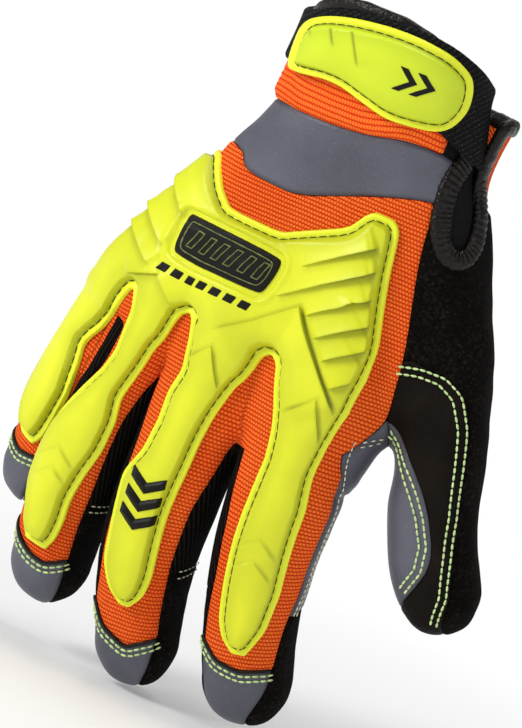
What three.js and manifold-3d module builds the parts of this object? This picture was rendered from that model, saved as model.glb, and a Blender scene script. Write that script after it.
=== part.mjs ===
// Impact glove for the right hand, in millimetres.
// +Z runs up the forearm out of the wrist opening, -Y out of the back of the hand, +X to the thumb side.
// The origin is the middle of the wrist opening. The glove is filled out, as a hand fills it.
//
// The hand is one palm loft and five digit lofts. Every layer of the glove is the same hand,
// grown or shrunk by a named thickness, and every panel is a layer cut by its own outline.

import * as THREE from "three";
import { mergeVertices } from "three/addons/utils/BufferGeometryUtils.js";
import Module from "manifold-3d";

const wasm = await Module();
wasm.setup();

// Cloth, leather and moulded layers
const WALL = 1.6; // cloth and leather shell
const GAP = 0.3; // clearance between neighbouring pieces
const RIM_THICKNESS = 1.2; // sewn-down rim of the moulded guard
const RIM_WIDTH = 2.3;
const GUARD_THICKNESS = 3.4; // raised body of the moulded guard
const GROOVE_DEPTH = 1.2;
const GROOVE_WIDTH = 1.4;
const BADGE_THICKNESS = 0.8;
const GATHER_THICKNESS = 1.4; // how far the cuff's gathers stand proud
const STRAP_THICKNESS = 1.4;
const PAD_THICKNESS = 3;
const BINDING_THICKNESS = 1.2;
const BINDING_HEIGHT = 4.4;

// Palm and wrist
const PALM_LENGTH = 110; // wrist opening to the finger crotches
const PALM_BREADTH = 106;
const PALM_DEPTH = 42;
const WRIST_BREADTH = 63;
const WRIST_DEPTH = 48;
const SIDE_SEAM = 8; // how far behind the middle the back's cloth reaches
const CUFF_RISE = 12.5; // how far the cuff's back stands above its sides
const CUFF_LENGTH = 30; // opening to the leather, on the palm side
const FINGER_SEAM = -105; // height at which a finger's own leather begins
const THUMB_SEAM = -62;

// Slit at the thumb side of the wrist, and the flap behind it
const SLIT_AZIMUTH = 62; // degrees round from the back of the hand
const SLIT_LENGTH = 27;
const SLIT_TOP = -19;
const SLIT_WIDTH = 9.5;
const SLIT_PLACE = 17.3; // across, seen along its own azimuth
const SLIT_BINDING = 3.8;
const FLAP_FROM = 88; // degrees round from the back of the hand
const FLAP_TO = 158;
const FLAP_TOP = -3;
const FLAP_FLARE = 10.5;
const FLAP_THICKNESS = 1.8;
const FLAP_BINDING = 9; // degrees of the flap that its binding covers
const FLAP_GAP = 0.7; // degrees between the flap and its neighbours
const CUFF_END = 63; // degrees round to where the back's cuff ends at the slit

// Digits: sizes in millimetres, roots as shares of the palm's breadth, depth and length
const DIGIT_SIZES = {
  pinky: { length: 95, breadth: 22, depth: 22 },
  ring: { length: 114, breadth: 24.5, depth: 24 },
  middle: { length: 121, breadth: 25.5, depth: 25 },
  index: { length: 119.5, breadth: 27.5, depth: 25.5 },
  thumb: { length: 126, breadth: 26, depth: 27 },
};
const DIGIT_PLACES = {
  pinky: { across: -0.415, deep: 0.22, along: -0.72, twist: -26 },
  ring: { across: -0.32, deep: 0.09, along: -0.78, twist: -12 },
  middle: { across: -0.12, deep: 0.02, along: -0.82, twist: -2 },
  index: { across: 0.2, deep: 0.04, along: -0.8, twist: 6 },
  thumb: { across: 0.27, deep: 0.3, along: -0.34, twist: 10 },
};
// Each phalanx: its share of the digit's length, its direction towards the palm (bend) and
// towards the thumb side (turn), in degrees
const PHALANGES = {
  pinky: [
    { share: 0.44, bend: 6, turn: -14 },
    { share: 0.28, bend: 12, turn: -15 },
    { share: 0.28, bend: 15, turn: -12 },
  ],
  ring: [
    { share: 0.44, bend: 6, turn: -10 },
    { share: 0.3, bend: 13, turn: -8 },
    { share: 0.26, bend: 18, turn: -2 },
  ],
  middle: [
    { share: 0.44, bend: 6, turn: -3 },
    { share: 0.3, bend: 14, turn: 3 },
    { share: 0.26, bend: 22, turn: 8 },
  ],
  index: [
    { share: 0.43, bend: 5, turn: -2 },
    { share: 0.3, bend: 14, turn: 6 },
    { share: 0.27, bend: 22, turn: 12 },
  ],
  thumb: [
    { share: 0.5, bend: 3, turn: 23 },
    { share: 0.26, bend: 8, turn: 20 },
    { share: 0.24, bend: 14, turn: 26 },
  ],
};

// Breadth and depth of a digit along its length, as shares of its own breadth and depth
const FINGER_TAPER = [
  { along: -0.06, size: 0.8 },
  { along: 0.12, size: 1.05 },
  { along: 0.32, size: 1.06 },
  { along: 0.5, size: 1.06 },
  { along: 0.76, size: 1.0 },
  { along: 0.87, size: 0.96 },
];
const THUMB_TAPER = [
  { along: -0.04, size: 0.95 },
  { along: 0.12, size: 1.25 },
  { along: 0.32, size: 1.33 },
  { along: 0.52, size: 1.22 },
  { along: 0.7, size: 1.02 },
  { along: 0.8, size: 0.97 },
  { along: 0.88, size: 0.93 },
];

// Palm sections from the cuff down: places as shares of PALM_LENGTH, centres and half sizes as
// shares of the breadth and depth that they follow, the wrist's or the palm's
const PALM_SECTIONS = [
  { along: 0.2, tilt: 0, across: 0.09, deep: -0.14, breadth: 0.42, depth: 0.49, of: "wrist" },
  { along: 0, tilt: 0, across: 0.08, deep: 0, breadth: 0.45, depth: 0.5, of: "wrist" },
  { along: -0.2, tilt: 0, across: 0.106, deep: 0.1, breadth: 0.535, depth: 0.47, of: "wrist" },
  { along: -0.28, tilt: 0, across: 0.11, deep: 0.13, breadth: 0.6, depth: 0.47, of: "wrist" },
  { along: -0.37, tilt: 0, across: 0.05, deep: 0.19, breadth: 0.4, depth: 0.5, of: "palm" },
  { along: -0.71, tilt: 0.1, across: -0.03, deep: 0.21, breadth: 0.443, depth: 0.46, of: "palm" },
  { along: -0.86, tilt: 0.2, across: -0.066, deep: 0.2, breadth: 0.462, depth: 0.4, of: "palm" },
  { along: -0.98, tilt: 0.27, across: -0.09, deep: 0.2, breadth: 0.455, depth: 0.33, of: "palm" },
  { along: -1.04, tilt: 0.3, across: -0.1, deep: 0.2, breadth: 0.42, depth: 0.2, of: "palm" },
];

const DIGIT_SIDES = 10;
const PALM_SIDES = 18;
const TIP_STEPS = 2;
const SQUARENESS = 2.5; // superellipse power of a section

const rad = THREE.MathUtils.degToRad;
const lerp = THREE.MathUtils.lerp;
const UP = new THREE.Vector3(0, 0, 1);
const DORSAL = new THREE.Vector3(0, -1, 0);
const REACH = 120; // past every piece

// Outlines on the back of the hand: across as shares of PALM_BREADTH, along of PALM_LENGTH
const PLATE_OUTLINE = [
  { across: -0.9, along: -0.4 },
  { across: -0.34, along: -0.4 },
  { across: -0.33, along: -0.46 },
  { across: -0.29, along: -0.5 },
  { across: -0.235, along: -0.535 },
  { across: -0.05, along: -0.53 },
  { across: 0.135, along: -0.44 },
  { across: 0.187, along: -0.385 },
  { across: 0.26, along: -0.388 },
  { across: 0.271, along: -0.43 },
  { across: 0.315, along: -0.67 },
  { across: 0.336, along: -0.83 },
  { across: 0.2, along: -0.91 },
  { across: 0.045, along: -0.85 },
  { across: -0.1, along: -0.91 },
  { across: -0.2, along: -0.87 },
  { across: -0.245, along: -0.85 },
  { across: -0.34, along: -0.9 },
  { across: -0.45, along: -0.84 },
  { across: -0.52, along: -0.91 },
  { across: -0.9, along: -0.91 },
];
const BACK_OUTLINE = [
  { across: -0.9, along: -0.25 },
  { across: 0.34, along: -0.25 },
  { across: 0.34, along: -0.4 },
  { across: 0.364, along: -0.53 },
  { across: 0.405, along: -0.71 },
  { across: 0.41, along: -0.875 },
  { across: 0.39, along: -0.93 },
  { across: 0.32, along: -1.0 },
  { across: 0.1, along: -1.02 },
  { across: -0.1, along: -0.98 },
  { across: -0.36, along: -0.94 },
  { across: -0.56, along: -0.88 },
  { across: -0.9, along: -0.84 },
];
const BAND_TOP = [
  { across: -0.9, along: -0.2 },
  { across: -0.21, along: -0.2 },
  { across: -0.12, along: -0.207 },
  { across: 0.015, along: -0.203 },
  { across: 0.11, along: -0.192 },
  { across: 0.22, along: -0.164 },
  { across: 0.36, along: -0.165 },
];
const BAND_LOW = [
  { across: 0.36, along: -0.292 },
  { across: 0.295, along: -0.3 },
  { across: 0.105, along: -0.363 },
  { across: -0.05, along: -0.42 },
  { across: -0.157, along: -0.417 },
  { across: -0.235, along: -0.41 },
  { across: -0.275, along: -0.355 },
  { across: -0.9, along: -0.33 },
];
const CUFF_TOP = [
  { across: 0.36, along: 0.4 },
  { across: -0.9, along: 0.4 },
];
const BADGE_OUTLINE = [
  { across: -0.315, along: -0.575 },
  { across: -0.035, along: -0.56 },
  { across: -0.015, along: -0.58 },
  { across: -0.04, along: -0.69 },
  { across: -0.065, along: -0.705 },
  { across: -0.355, along: -0.69 },
  { across: -0.37, along: -0.67 },
  { across: -0.335, along: -0.59 },
];

// Strap outlines, seen from STRAP_AZIMUTH: across as shares of WRIST_BREADTH, along of WRIST_DEPTH
const STRAP_AZIMUTH = 20;
const PAD_OUTLINE = [
  { across: -0.54, along: -0.27 },
  { across: -0.38, along: -0.31 },
  { across: -0.18, along: -0.285 },
  { across: -0.016, along: -0.33 },
  { across: 0.133, along: -0.4 },
  { across: 0.36, along: -0.405 },
  { across: 0.418, along: -0.237 },
  { across: 0.43, along: 0.006 },
  { across: 0.364, along: 0.104 },
  { across: 0.24, along: 0.175 },
  { across: 0.027, along: 0.196 },
  { across: -0.22, along: 0.167 },
  { across: -0.4, along: 0.083 },
  { across: -0.46, along: 0.02 },
];
const STRAP_OUTLINE = [
  { across: -0.7, along: -0.24 },
  { across: 0, along: -0.26 },
  { across: 0.2, along: -0.34 },
  { across: 0.48, along: -0.365 },
  { across: 0.62, along: -0.42 },
  { across: 1, along: -0.66 },
  { across: 1, along: -0.3 },
  { across: 0.64, along: -0.08 },
  { across: 0.48, along: 0.075 },
  { across: 0.32, along: 0.12 },
  { across: 0, along: 0.14 },
  { across: -0.7, along: 0.02 },
];

// Grooves in the guard: their ends, across as shares of PALM_BREADTH and along of PALM_LENGTH
const GROOVES = [
  { across: 0.055, along: -0.585, toAcross: 0.24, toAlong: -0.465 },
  { across: 0.025, along: -0.683, toAcross: 0.252, toAlong: -0.53 },
  { across: 0.108, along: -0.71, toAcross: 0.26, toAlong: -0.602 },
  { across: 0.15, along: -0.76, toAcross: 0.277, toAlong: -0.667 },
  { across: -0.127, along: -0.843, toAcross: 0.07, toAlong: -0.695 },
  { across: -0.32, along: -0.55, toAcross: -0.5, toAlong: -0.49 },
  { across: -0.355, along: -0.63, toAcross: -0.56, toAlong: -0.56 },
];

// Panels that run down a digit: the angles, in degrees from the back of the digit, between which
// they lie at each share of its length
const CAP_STARTS = { pinky: 0.79, ring: 0.84, middle: 0.845, index: 0.8 };
const BACK_SHIFTS = { pinky: -22, ring: -3, middle: 0, index: 4 };
const BACK_ROWS = [
  { along: -0.02, from: -75, to: 78 },
  { along: 0.22, from: -62, to: 76 },
  { along: 0.34, from: -48, to: 66 },
  { along: 0.46, from: -44, to: 56 },
  { along: 0.62, from: -48, to: 60 },
  { along: 0.79, from: -58, to: 66 },
];
const INDEX_BACK_ROWS = [
  { along: -0.02, from: -75, to: 71 },
  { along: 0.22, from: -66, to: 69 },
  { along: 0.46, from: -48, to: 69 },
  { along: 0.79, from: -58, to: 71 },
];
const STRIP_ROWS = {
  pinky: [
    { along: 0.03, from: -66, to: 50 },
    { along: 0.2, from: -64, to: 20 },
    { along: 0.32, from: -64, to: 7 },
    { along: 0.56, from: -58, to: 24 },
    { along: 0.7, from: -46, to: 28 },
    { along: 0.77, from: -22, to: 8 },
  ],
  ring: [
    { along: 0.0, from: -52, to: 48 },
    { along: 0.17, from: -24, to: 42 },
    { along: 0.31, from: -20, to: 34 },
    { along: 0.64, from: -42, to: 34 },
    { along: 0.76, from: -34, to: 26 },
    { along: 0.81, from: -12, to: 8 },
  ],
  middle: [
    { along: -0.02, from: -48, to: 60 },
    { along: 0.27, from: -22, to: 40 },
    { along: 0.4, from: -33, to: 40 },
    { along: 0.52, from: -42, to: 36 },
    { along: 0.7, from: -32, to: 30 },
    { along: 0.76, from: -12, to: 10 },
  ],
  index: [
    { along: -0.02, from: -58, to: 64 },
    { along: 0.16, from: -41, to: 54 },
    { along: 0.27, from: -24, to: 43 },
    { along: 0.36, from: -24, to: 53 },
    { along: 0.6, from: -29, to: 50 },
    { along: 0.72, from: -28, to: 38 },
    { along: 0.775, from: -14, to: 14 },
  ],
};
const FOURCHETTE_END = 0.64;
const INDEX_SIDE_ROWS = [
  { along: 0.04, from: 71, to: 128 },
  { along: 0.3, from: 71, to: 120 },
  { along: 0.6, from: 72, to: 112 },
  { along: 0.86, from: 74, to: 100 },
];
const THUMB_SIDE_ROWS = [
  { along: 0.46, from: -112, to: -52 },
  { along: 0.52, from: -112, to: -28 },
  { along: 0.67, from: -112, to: 1 },
  { along: 0.77, from: -112, to: 6 },
  { along: 0.84, from: -112, to: -5 },
  { along: 0.93, from: -112, to: -40 },
];
const THUMB_BACK_ROWS = [
  { along: 0.34, from: -60, to: 0 },
  { along: 0.42, from: -112, to: 40 },
  { along: 0.5, from: -112, to: 49 },
  { along: 0.65, from: -112, to: 47 },
  { along: 0.83, from: -112, to: 44 },
  { along: 1.12, from: -112, to: 30 },
];

// A closed mesh as a solid
function solidOf(geometry) {
  const bare = geometry.index ? geometry.toNonIndexed() : geometry;
  const points = new THREE.BufferGeometry().setAttribute("position", bare.getAttribute("position"));
  const merged = mergeVertices(points, 1e-4);
  const mesh = new wasm.Mesh({
    numProp: 3,
    vertProperties: merged.attributes.position.array,
    triVerts: new Uint32Array(merged.index.array),
  });
  return new wasm.Manifold(mesh);
}

// A solid's surface as a geometry, without the slivers that a cut can leave beside its main body
function mainBody(solid) {
  const { vertProperties, triVerts } = solid.getMesh();
  const raw = new THREE.BufferGeometry();
  raw.setAttribute("position", new THREE.BufferAttribute(vertProperties, 3));
  raw.setIndex(new THREE.BufferAttribute(triVerts, 1));
  const geometry = mergeVertices(raw, 1e-3);
  const place = geometry.getAttribute("position");
  const owner = Array.from({ length: place.count }, (_, i) => i);
  const find = (i) => {
    while (owner[i] !== i) i = owner[i] = owner[owner[i]];
    return i;
  };
  const faces = [];
  const index = geometry.index.array;
  for (let i = 0; i < index.length; i += 3) {
    const [p, q, r] = index.subarray(i, i + 3);
    if (p === q || q === r || r === p) continue;
    faces.push([p, q, r]);
    owner[find(q)] = find(p);
    owner[find(r)] = find(p);
  }
  const volumes = new Map();
  const corner = (i) => new THREE.Vector3().fromBufferAttribute(place, i);
  for (const [p, q, r] of faces) {
    const part = corner(p).dot(corner(q).cross(corner(r)));
    volumes.set(find(p), (volumes.get(find(p)) ?? 0) + part);
  }
  const [main] = [...volumes].sort((one, other) => other[1] - one[1])[0];
  geometry.setIndex(faces.filter(([p]) => find(p) === main).flat());
  return geometry;
}

const glove = new THREE.Group();
function addPiece(name, solid, material) {
  const geometry = mainBody(solid);
  geometry.computeVertexNormals();
  const mesh = new THREE.Mesh(geometry, material);
  mesh.name = name;
  glove.add(mesh);
}

// Rings of equally many points, joined into one closed solid
function loft(rings) {
  const count = rings[0].length;
  const last = (rings.length - 1) * count;
  const faces = [];
  for (let start = 0; start < last; start += count) {
    for (let i = 0; i < count; i++) {
      const a = start + i;
      const b = start + ((i + 1) % count);
      faces.push([a, b, a + count], [b, b + count, a + count]);
    }
  }
  for (const [a, b, c] of fill(rings[0])) faces.push([a, c, b]);
  for (const [a, b, c] of fill(rings.at(-1))) faces.push([last + a, last + b, last + c]);
  const geometry = new THREE.BufferGeometry().setFromPoints(rings.flat());
  const solid = solidOf(geometry.setIndex(faces.flat()));
  if (solid.volume() > 0) return solid;
  return solidOf(geometry.setIndex(faces.map(([a, b, c]) => [a, c, b]).flat()));
}

// Triangles that fill a ring, in its own plane
function fill(ring) {
  const normal = new THREE.Vector3();
  ring.forEach((p, i) => normal.add(p.clone().cross(ring[(i + 1) % ring.length])));
  normal.normalize();
  const across = ring[1].clone().sub(ring[0]).projectOnPlane(normal).normalize();
  const up = normal.clone().cross(across);
  const flat = ring.map((p) => new THREE.Vector2(p.dot(across), p.dot(up)));
  return THREE.ShapeUtils.triangulateShape(flat, []);
}

// A point of a superellipse with half sizes a along u and b along v
function sectionPoint(centre, u, v, a, b, angle) {
  const power = 2 / SQUARENESS;
  const c = Math.cos(angle);
  const s = Math.sin(angle);
  const across = Math.sign(c) * Math.abs(c) ** power * a;
  const deep = Math.sign(s) * Math.abs(s) ** power * b;
  return centre.clone().addScaledVector(u, across).addScaledVector(v, deep);
}

function section(centre, u, v, a, b, sides) {
  const turn = (2 * Math.PI) / sides;
  return Array.from({ length: sides }, (_, i) => sectionPoint(centre, u, v, a, b, (i + 0.5) * turn));
}

// The palm and wrist, grown by a thickness. A cavity runs on past the top, so that it stays open.
const palmRows = PALM_SECTIONS.map((row) => {
  const breadth = row.of === "wrist" ? WRIST_BREADTH : PALM_BREADTH;
  const depth = row.of === "wrist" ? WRIST_DEPTH : PALM_DEPTH;
  return {
    centre: new THREE.Vector3(row.across * breadth, row.deep * depth, row.along * PALM_LENGTH),
    across: new THREE.Vector3(1, 0, -row.tilt),
    halfBreadth: row.breadth * breadth,
    halfDepth: row.depth * depth,
  };
});

function palmLoft(grow) {
  const last = palmRows.length - 1;
  return loft(
    palmRows.map(({ centre, across, halfBreadth, halfDepth }, i) => {
      const place = centre.clone();
      if (i === last) place.z -= grow;
      if (i === 0 && grow < 0) place.z += WALL;
      const back = new THREE.Vector3(0, 1, 0);
      return section(place, across, back, halfBreadth + grow, halfDepth + grow, PALM_SIDES);
    }),
  );
}

// A digit's centre line: its phalanges in a row, smoothed by a curve
function digitLine(name) {
  const { length } = DIGIT_SIZES[name];
  const { across, deep, along } = DIGIT_PLACES[name];
  const joint = new THREE.Vector3(across * PALM_BREADTH, deep * PALM_DEPTH, along * PALM_LENGTH);
  const points = [joint.clone()];
  for (const phalanx of PHALANGES[name]) {
    const bend = rad(phalanx.bend);
    const turn = rad(phalanx.turn);
    const step = new THREE.Vector3(
      Math.sin(turn) * Math.cos(bend),
      Math.sin(bend),
      -Math.cos(turn) * Math.cos(bend),
    );
    joint.addScaledVector(step, phalanx.share * length);
    points.push(joint.clone());
  }
  return new THREE.CatmullRomCurve3(points, false, "centripetal");
}

const digitNames = Object.keys(DIGIT_SIZES);
const fingerNames = digitNames.filter((name) => name !== "thumb");
const digitLines = Object.fromEntries(digitNames.map((name) => [name, digitLine(name)]));

// The place and directions of a digit at a share of its length, which may lie past either end
function digitFrame(name, along) {
  const inside = THREE.MathUtils.clamp(along, 0, 1);
  const tangent = digitLines[name].getTangentAt(inside);
  const centre = digitLines[name].getPointAt(inside);
  centre.addScaledVector(tangent, (along - inside) * DIGIT_SIZES[name].length);
  const out = DORSAL.clone().projectOnPlane(tangent).normalize();
  out.applyAxisAngle(tangent, -rad(DIGIT_PLACES[name].twist));
  const side = out.clone().cross(tangent);
  return { centre, out, side };
}

// Half sizes of a digit at a share of its length
function digitHalves(name, along) {
  const rows = name === "thumb" ? THUMB_TAPER : FINGER_TAPER;
  const next = rows.findIndex((row) => row.along > along);
  const { breadth, depth } = DIGIT_SIZES[name];
  const [low, high] = next < 0 ? [rows.at(-1), rows.at(-1)] : [rows[Math.max(next - 1, 0)], rows[next]];
  const span = high.along - low.along || 1;
  const size = lerp(low.size, high.size, THREE.MathUtils.clamp((along - low.along) / span, 0, 1));
  return { a: (breadth * size) / 2, b: (depth * size) / 2 };
}

// One digit, grown by a thickness, with a round tip
function digitLoft(name, grow) {
  const { length } = DIGIT_SIZES[name];
  const taper = name === "thumb" ? THUMB_TAPER : FINGER_TAPER;
  const ring = (along, shrink) => {
    const { centre, out, side } = digitFrame(name, along);
    const { a, b } = digitHalves(name, along);
    return section(centre, side, out, (a + grow) * shrink, (b + grow) * shrink, DIGIT_SIDES);
  };
  const rings = taper.map(({ along }, i) => ring(i === 0 ? along - grow / length : along, 1));
  const start = taper.at(-1).along;
  const tip = 1 + grow / length;
  for (let i = 1; i <= TIP_STEPS; i++) {
    const angle = (i / (TIP_STEPS + 0.3)) * (Math.PI / 2);
    rings.push(ring(lerp(start, tip, Math.sin(angle)), Math.cos(angle) ** 0.8));
  }
  return loft(rings);
}

// The whole hand, grown by a thickness
const hands = new Map();
function hand(grow) {
  if (!hands.has(grow)) {
    const lofts = digitNames.map((name) => digitLoft(name, grow));
    hands.set(grow, lofts.reduce((sum, one) => sum.add(one), palmLoft(grow)));
  }
  return hands.get(grow);
}

const layer = (from, to) => hand(to).subtract(hand(from));
const onPalm = (rows) => rows.map((row) => [row.across * PALM_BREADTH, row.along * PALM_LENGTH]);
const onStrap = (rows) => rows.map((row) => [row.across * WRIST_BREADTH, row.along * WRIST_DEPTH]);

// An outline moved outwards by a distance, or inwards by a negative one
function offset(points, distance) {
  const clockwise = THREE.ShapeUtils.area(points.map(([x, y]) => new THREE.Vector2(x, y))) < 0;
  const away = clockwise ? -distance : distance;
  return points.map((point, i) => {
    const here = new THREE.Vector2(...point);
    const before = here.clone().sub(new THREE.Vector2(...points.at(i - 1))).normalize();
    const after = new THREE.Vector2(...points[(i + 1) % points.length]).sub(here).normalize();
    const normal = new THREE.Vector2(before.y + after.y, -before.x - after.x).normalize();
    const mitre = away / Math.max(normal.dot(new THREE.Vector2(before.y, -before.x)), 0.5);
    return [here.x + normal.x * mitre, here.y + normal.y * mitre];
  });
}

// All that lies behind an outline, seen from an azimuth: the outline's points are across and up
function prism(points, azimuth = 0, from = -SIDE_SEAM) {
  const towards = new THREE.Vector3(Math.sin(rad(azimuth)), -Math.cos(rad(azimuth)), 0);
  const across = UP.clone().cross(towards);
  const shape = new THREE.Shape(points.map(([x, y]) => new THREE.Vector2(x, y)));
  const geometry = new THREE.ExtrudeGeometry(shape, { depth: REACH, bevelEnabled: false });
  const place = new THREE.Matrix4().makeBasis(across, UP, towards);
  geometry.applyMatrix4(place.setPosition(towards.multiplyScalar(from)));
  return solidOf(geometry);
}

// A sector of a digit for cutting panels out of layers, reaching a little past the surface.
// With grow, each of its sides moves outwards by that distance.
const SECTOR_STEP = 30; // degrees between its points
function sector(name, rows, grow = 0, over = 1) {
  const widest = Math.max(...rows.map((row) => row.to - row.from));
  const steps = Math.max(2, Math.ceil(widest / SECTOR_STEP));
  const shift = grow / DIGIT_SIZES[name].length;
  const last = rows.length - 1;
  const clear = over + 2 * Math.max(grow, 0);
  return loft(
    rows.map((row, r) => {
      const along = row.along + (r === last ? shift : 0) - (r === 0 ? shift : 0);
      const { centre, out, side } = digitFrame(name, along);
      const { a, b } = digitHalves(name, along);
      const spread = grow / a;
      const low = rad(row.from) - spread;
      const high = rad(row.to) + spread;
      const ring = [centre];
      for (let i = 0; i <= steps; i++) {
        const angle = lerp(low, high, i / steps);
        const power = SQUARENESS;
        const c = Math.abs(Math.cos(angle) / (b + clear)) ** power;
        const s = Math.abs(Math.sin(angle) / (a + clear)) ** power;
        const radius = (c + s) ** (-1 / power);
        const point = centre.clone().addScaledVector(out, Math.cos(angle) * radius);
        ring.push(point.addScaledVector(side, Math.sin(angle) * radius));
      }
      return ring;
    }),
  );
}

const join = (solids) => solids.reduce((sum, one) => sum.add(one));
const cut = (solid, ...tools) => tools.reduce((rest, tool) => rest.subtract(tool), solid);

// Materials, with the colours of the photographed glove
const lime = new THREE.MeshStandardMaterial({ color: 0xd7e62a, roughness: 0.45 });
const orange = new THREE.MeshStandardMaterial({ color: 0xf4511c, roughness: 0.85 });
const leather = new THREE.MeshStandardMaterial({ color: 0x17130f, roughness: 0.8 });
const knit = new THREE.MeshStandardMaterial({ color: 0x12100f, roughness: 0.95 });
const smoothLeather = new THREE.MeshStandardMaterial({ color: 0x211a14, roughness: 0.55 });
const webbing = new THREE.MeshStandardMaterial({ color: 0x0d0d0f, roughness: 0.8 });
const rubber = new THREE.MeshStandardMaterial({ color: 0x1b1a14, roughness: 0.5 });
const grey = new THREE.MeshStandardMaterial({ color: 0x63636c, roughness: 0.6 });

// Everything above the rim of the cuff, which rises towards the back of the hand
function aboveRim(drop) {
  const size = 3 * WRIST_BREADTH;
  const geometry = new THREE.BoxGeometry(size, size, size, 1, 24, 1);
  geometry.translate(0, 0, size / 2);
  const place = geometry.getAttribute("position");
  for (let i = 0; i < place.count; i++) {
    if (place.getZ(i) > 1) continue;
    const back = THREE.MathUtils.clamp(-place.getY(i) / (WRIST_DEPTH / 2), 0, 1.25);
    place.setZ(i, CUFF_RISE * back ** 1.15 - drop);
  }
  return solidOf(geometry);
}

// The region between two heights, across the whole glove
function slab(low, high, back = -REACH, front = REACH) {
  const geometry = new THREE.BoxGeometry(2 * REACH, front - back, high - low);
  return solidOf(geometry.translate(0, (front + back) / 2, (high + low) / 2));
}

// The slit: narrow at the top, round at the bottom
function teardrop(width, length, top) {
  const points = [];
  const radius = width / 2;
  const low = top - length + radius;
  const steps = 7;
  for (let i = 0; i <= steps; i++) {
    const angle = Math.PI + (i / steps) * Math.PI;
    points.push([SLIT_PLACE + radius * Math.cos(angle), low + radius * Math.sin(angle)]);
  }
  const narrow = radius * 0.55;
  points.push([SLIT_PLACE + narrow - 2, top], [SLIT_PLACE - narrow - 2, top]);
  return points;
}
const slitVoid = prism(teardrop(SLIT_WIDTH, SLIT_LENGTH, SLIT_TOP), SLIT_AZIMUTH, 0);
const slitOutline = teardrop(
  SLIT_WIDTH + 2 * SLIT_BINDING,
  SLIT_LENGTH + 2 * SLIT_BINDING,
  SLIT_TOP + SLIT_BINDING,
);
const slitRegion = (grow) => prism(offset(slitOutline, grow), SLIT_AZIMUTH, 0);

// A wedge about the wrist's middle between two azimuths, above a height
const WRIST_MIDDLE = new THREE.Vector2(0.07 * WRIST_BREADTH, 0.04 * WRIST_DEPTH);
function wedge(from, to, low) {
  const points = [WRIST_MIDDLE.clone()];
  const steps = 4;
  for (let i = 0; i <= steps; i++) {
    const azimuth = rad(lerp(from, to, i / steps));
    const away = new THREE.Vector2(Math.sin(azimuth), -Math.cos(azimuth)).multiplyScalar(REACH);
    points.push(WRIST_MIDDLE.clone().add(away));
  }
  const geometry = new THREE.ExtrudeGeometry(new THREE.Shape(points), { depth: REACH, bevelEnabled: false });
  return solidOf(geometry.translate(0, 0, low));
}

// The wrist's section at a height
function wristSection(z) {
  const next = palmRows.findIndex((row) => row.centre.z < z);
  const [upper, lower] = [palmRows[next - 1], palmRows[next]];
  const share = (z - lower.centre.z) / (upper.centre.z - lower.centre.z);
  return {
    centre: lower.centre.clone().lerp(upper.centre, share),
    a: lerp(lower.halfBreadth, upper.halfBreadth, share),
    b: lerp(lower.halfDepth, upper.halfDepth, share),
  };
}

// A stretch of the palm side's cuff between two azimuths, flaring out towards its top and its edge
function flapWall(from, to, low, high, inner, outer) {
  const steps = Math.max(2, Math.round((to - from) / 11));
  const heights = Math.max(2, Math.round((high - low) / 5.5));
  const back = new THREE.Vector3(0, 1, 0);
  const right = new THREE.Vector3(1, 0, 0);
  const rings = [];
  for (let h = 0; h <= heights; h++) {
    const z = lerp(low, high, h / heights);
    const { centre, a, b } = wristSection(z);
    const rise = THREE.MathUtils.clamp((z + CUFF_LENGTH) / (FLAP_TOP + CUFF_LENGTH), 0, 1);
    const wall = (away) =>
      Array.from({ length: steps + 1 }, (_, i) => {
        const azimuth = lerp(from, to, i / steps);
        const around = THREE.MathUtils.clamp((azimuth - FLAP_FROM) / (FLAP_TO - FLAP_FROM), 0, 1);
        const flare = FLAP_FLARE * rise ** 1.5 * Math.cos((Math.PI / 2) * around) ** 1.4;
        const grow = flare + away;
        return sectionPoint(centre, right, back, a + grow, b + grow, rad(azimuth - 90));
      });
    rings.push([...wall(inner), ...wall(outer).reverse()]);
  }
  return loft(rings);
}

// Regions of the glove, each grown by a clearance when it is cut out of its neighbours
const bandRegion = (grow) =>
  prism(offset(onPalm([...BAND_TOP, ...BAND_LOW]), grow), 0, -SIDE_SEAM - grow);
const gatherRegion = (grow) =>
  prism(offset(onPalm([...BAND_TOP, ...CUFF_TOP]), grow), 0, -SIDE_SEAM - grow);
const cuffPalmRegion = (grow) => slab(-CUFF_LENGTH - grow, REACH, SIDE_SEAM - grow);
const flapRegion = (grow) =>
  wedge(CUFF_END - grow * 2, FLAP_TO + FLAP_GAP, -CUFF_LENGTH - grow);
const backRows = (name) => {
  const rows = name === "index" ? INDEX_BACK_ROWS : BACK_ROWS;
  const shift = BACK_SHIFTS[name];
  const shifted = rows.map((row) => ({ ...row, from: row.from + shift, to: row.to + shift }));
  return [...shifted.slice(0, -1), { ...shifted.at(-1), along: CAP_STARTS[name] }];
};
const backRegion = (grow) =>
  join([
    prism(offset(onPalm(BACK_OUTLINE), grow), 0, -SIDE_SEAM - grow),
    ...fingerNames.map((name) => sector(name, backRows(name), grow, 2.5)),
  ]);
const capRegion = (name, grow) => {
  const { from, to } = backRows(name).at(-1);
  const rows = [CAP_STARTS[name], 0.9, 1.15].map((along) => ({ along, from, to }));
  return sector(name, rows, grow, 2);
};
const indexSideRegion = (grow) => sector("index", INDEX_SIDE_ROWS, grow, 6);
const thumbSideRegion = (grow) => sector("thumb", THUMB_SIDE_ROWS, grow, 3);
const thumbBackRegion = (grow) => sector("thumb", THUMB_BACK_ROWS, grow, 3);

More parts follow.
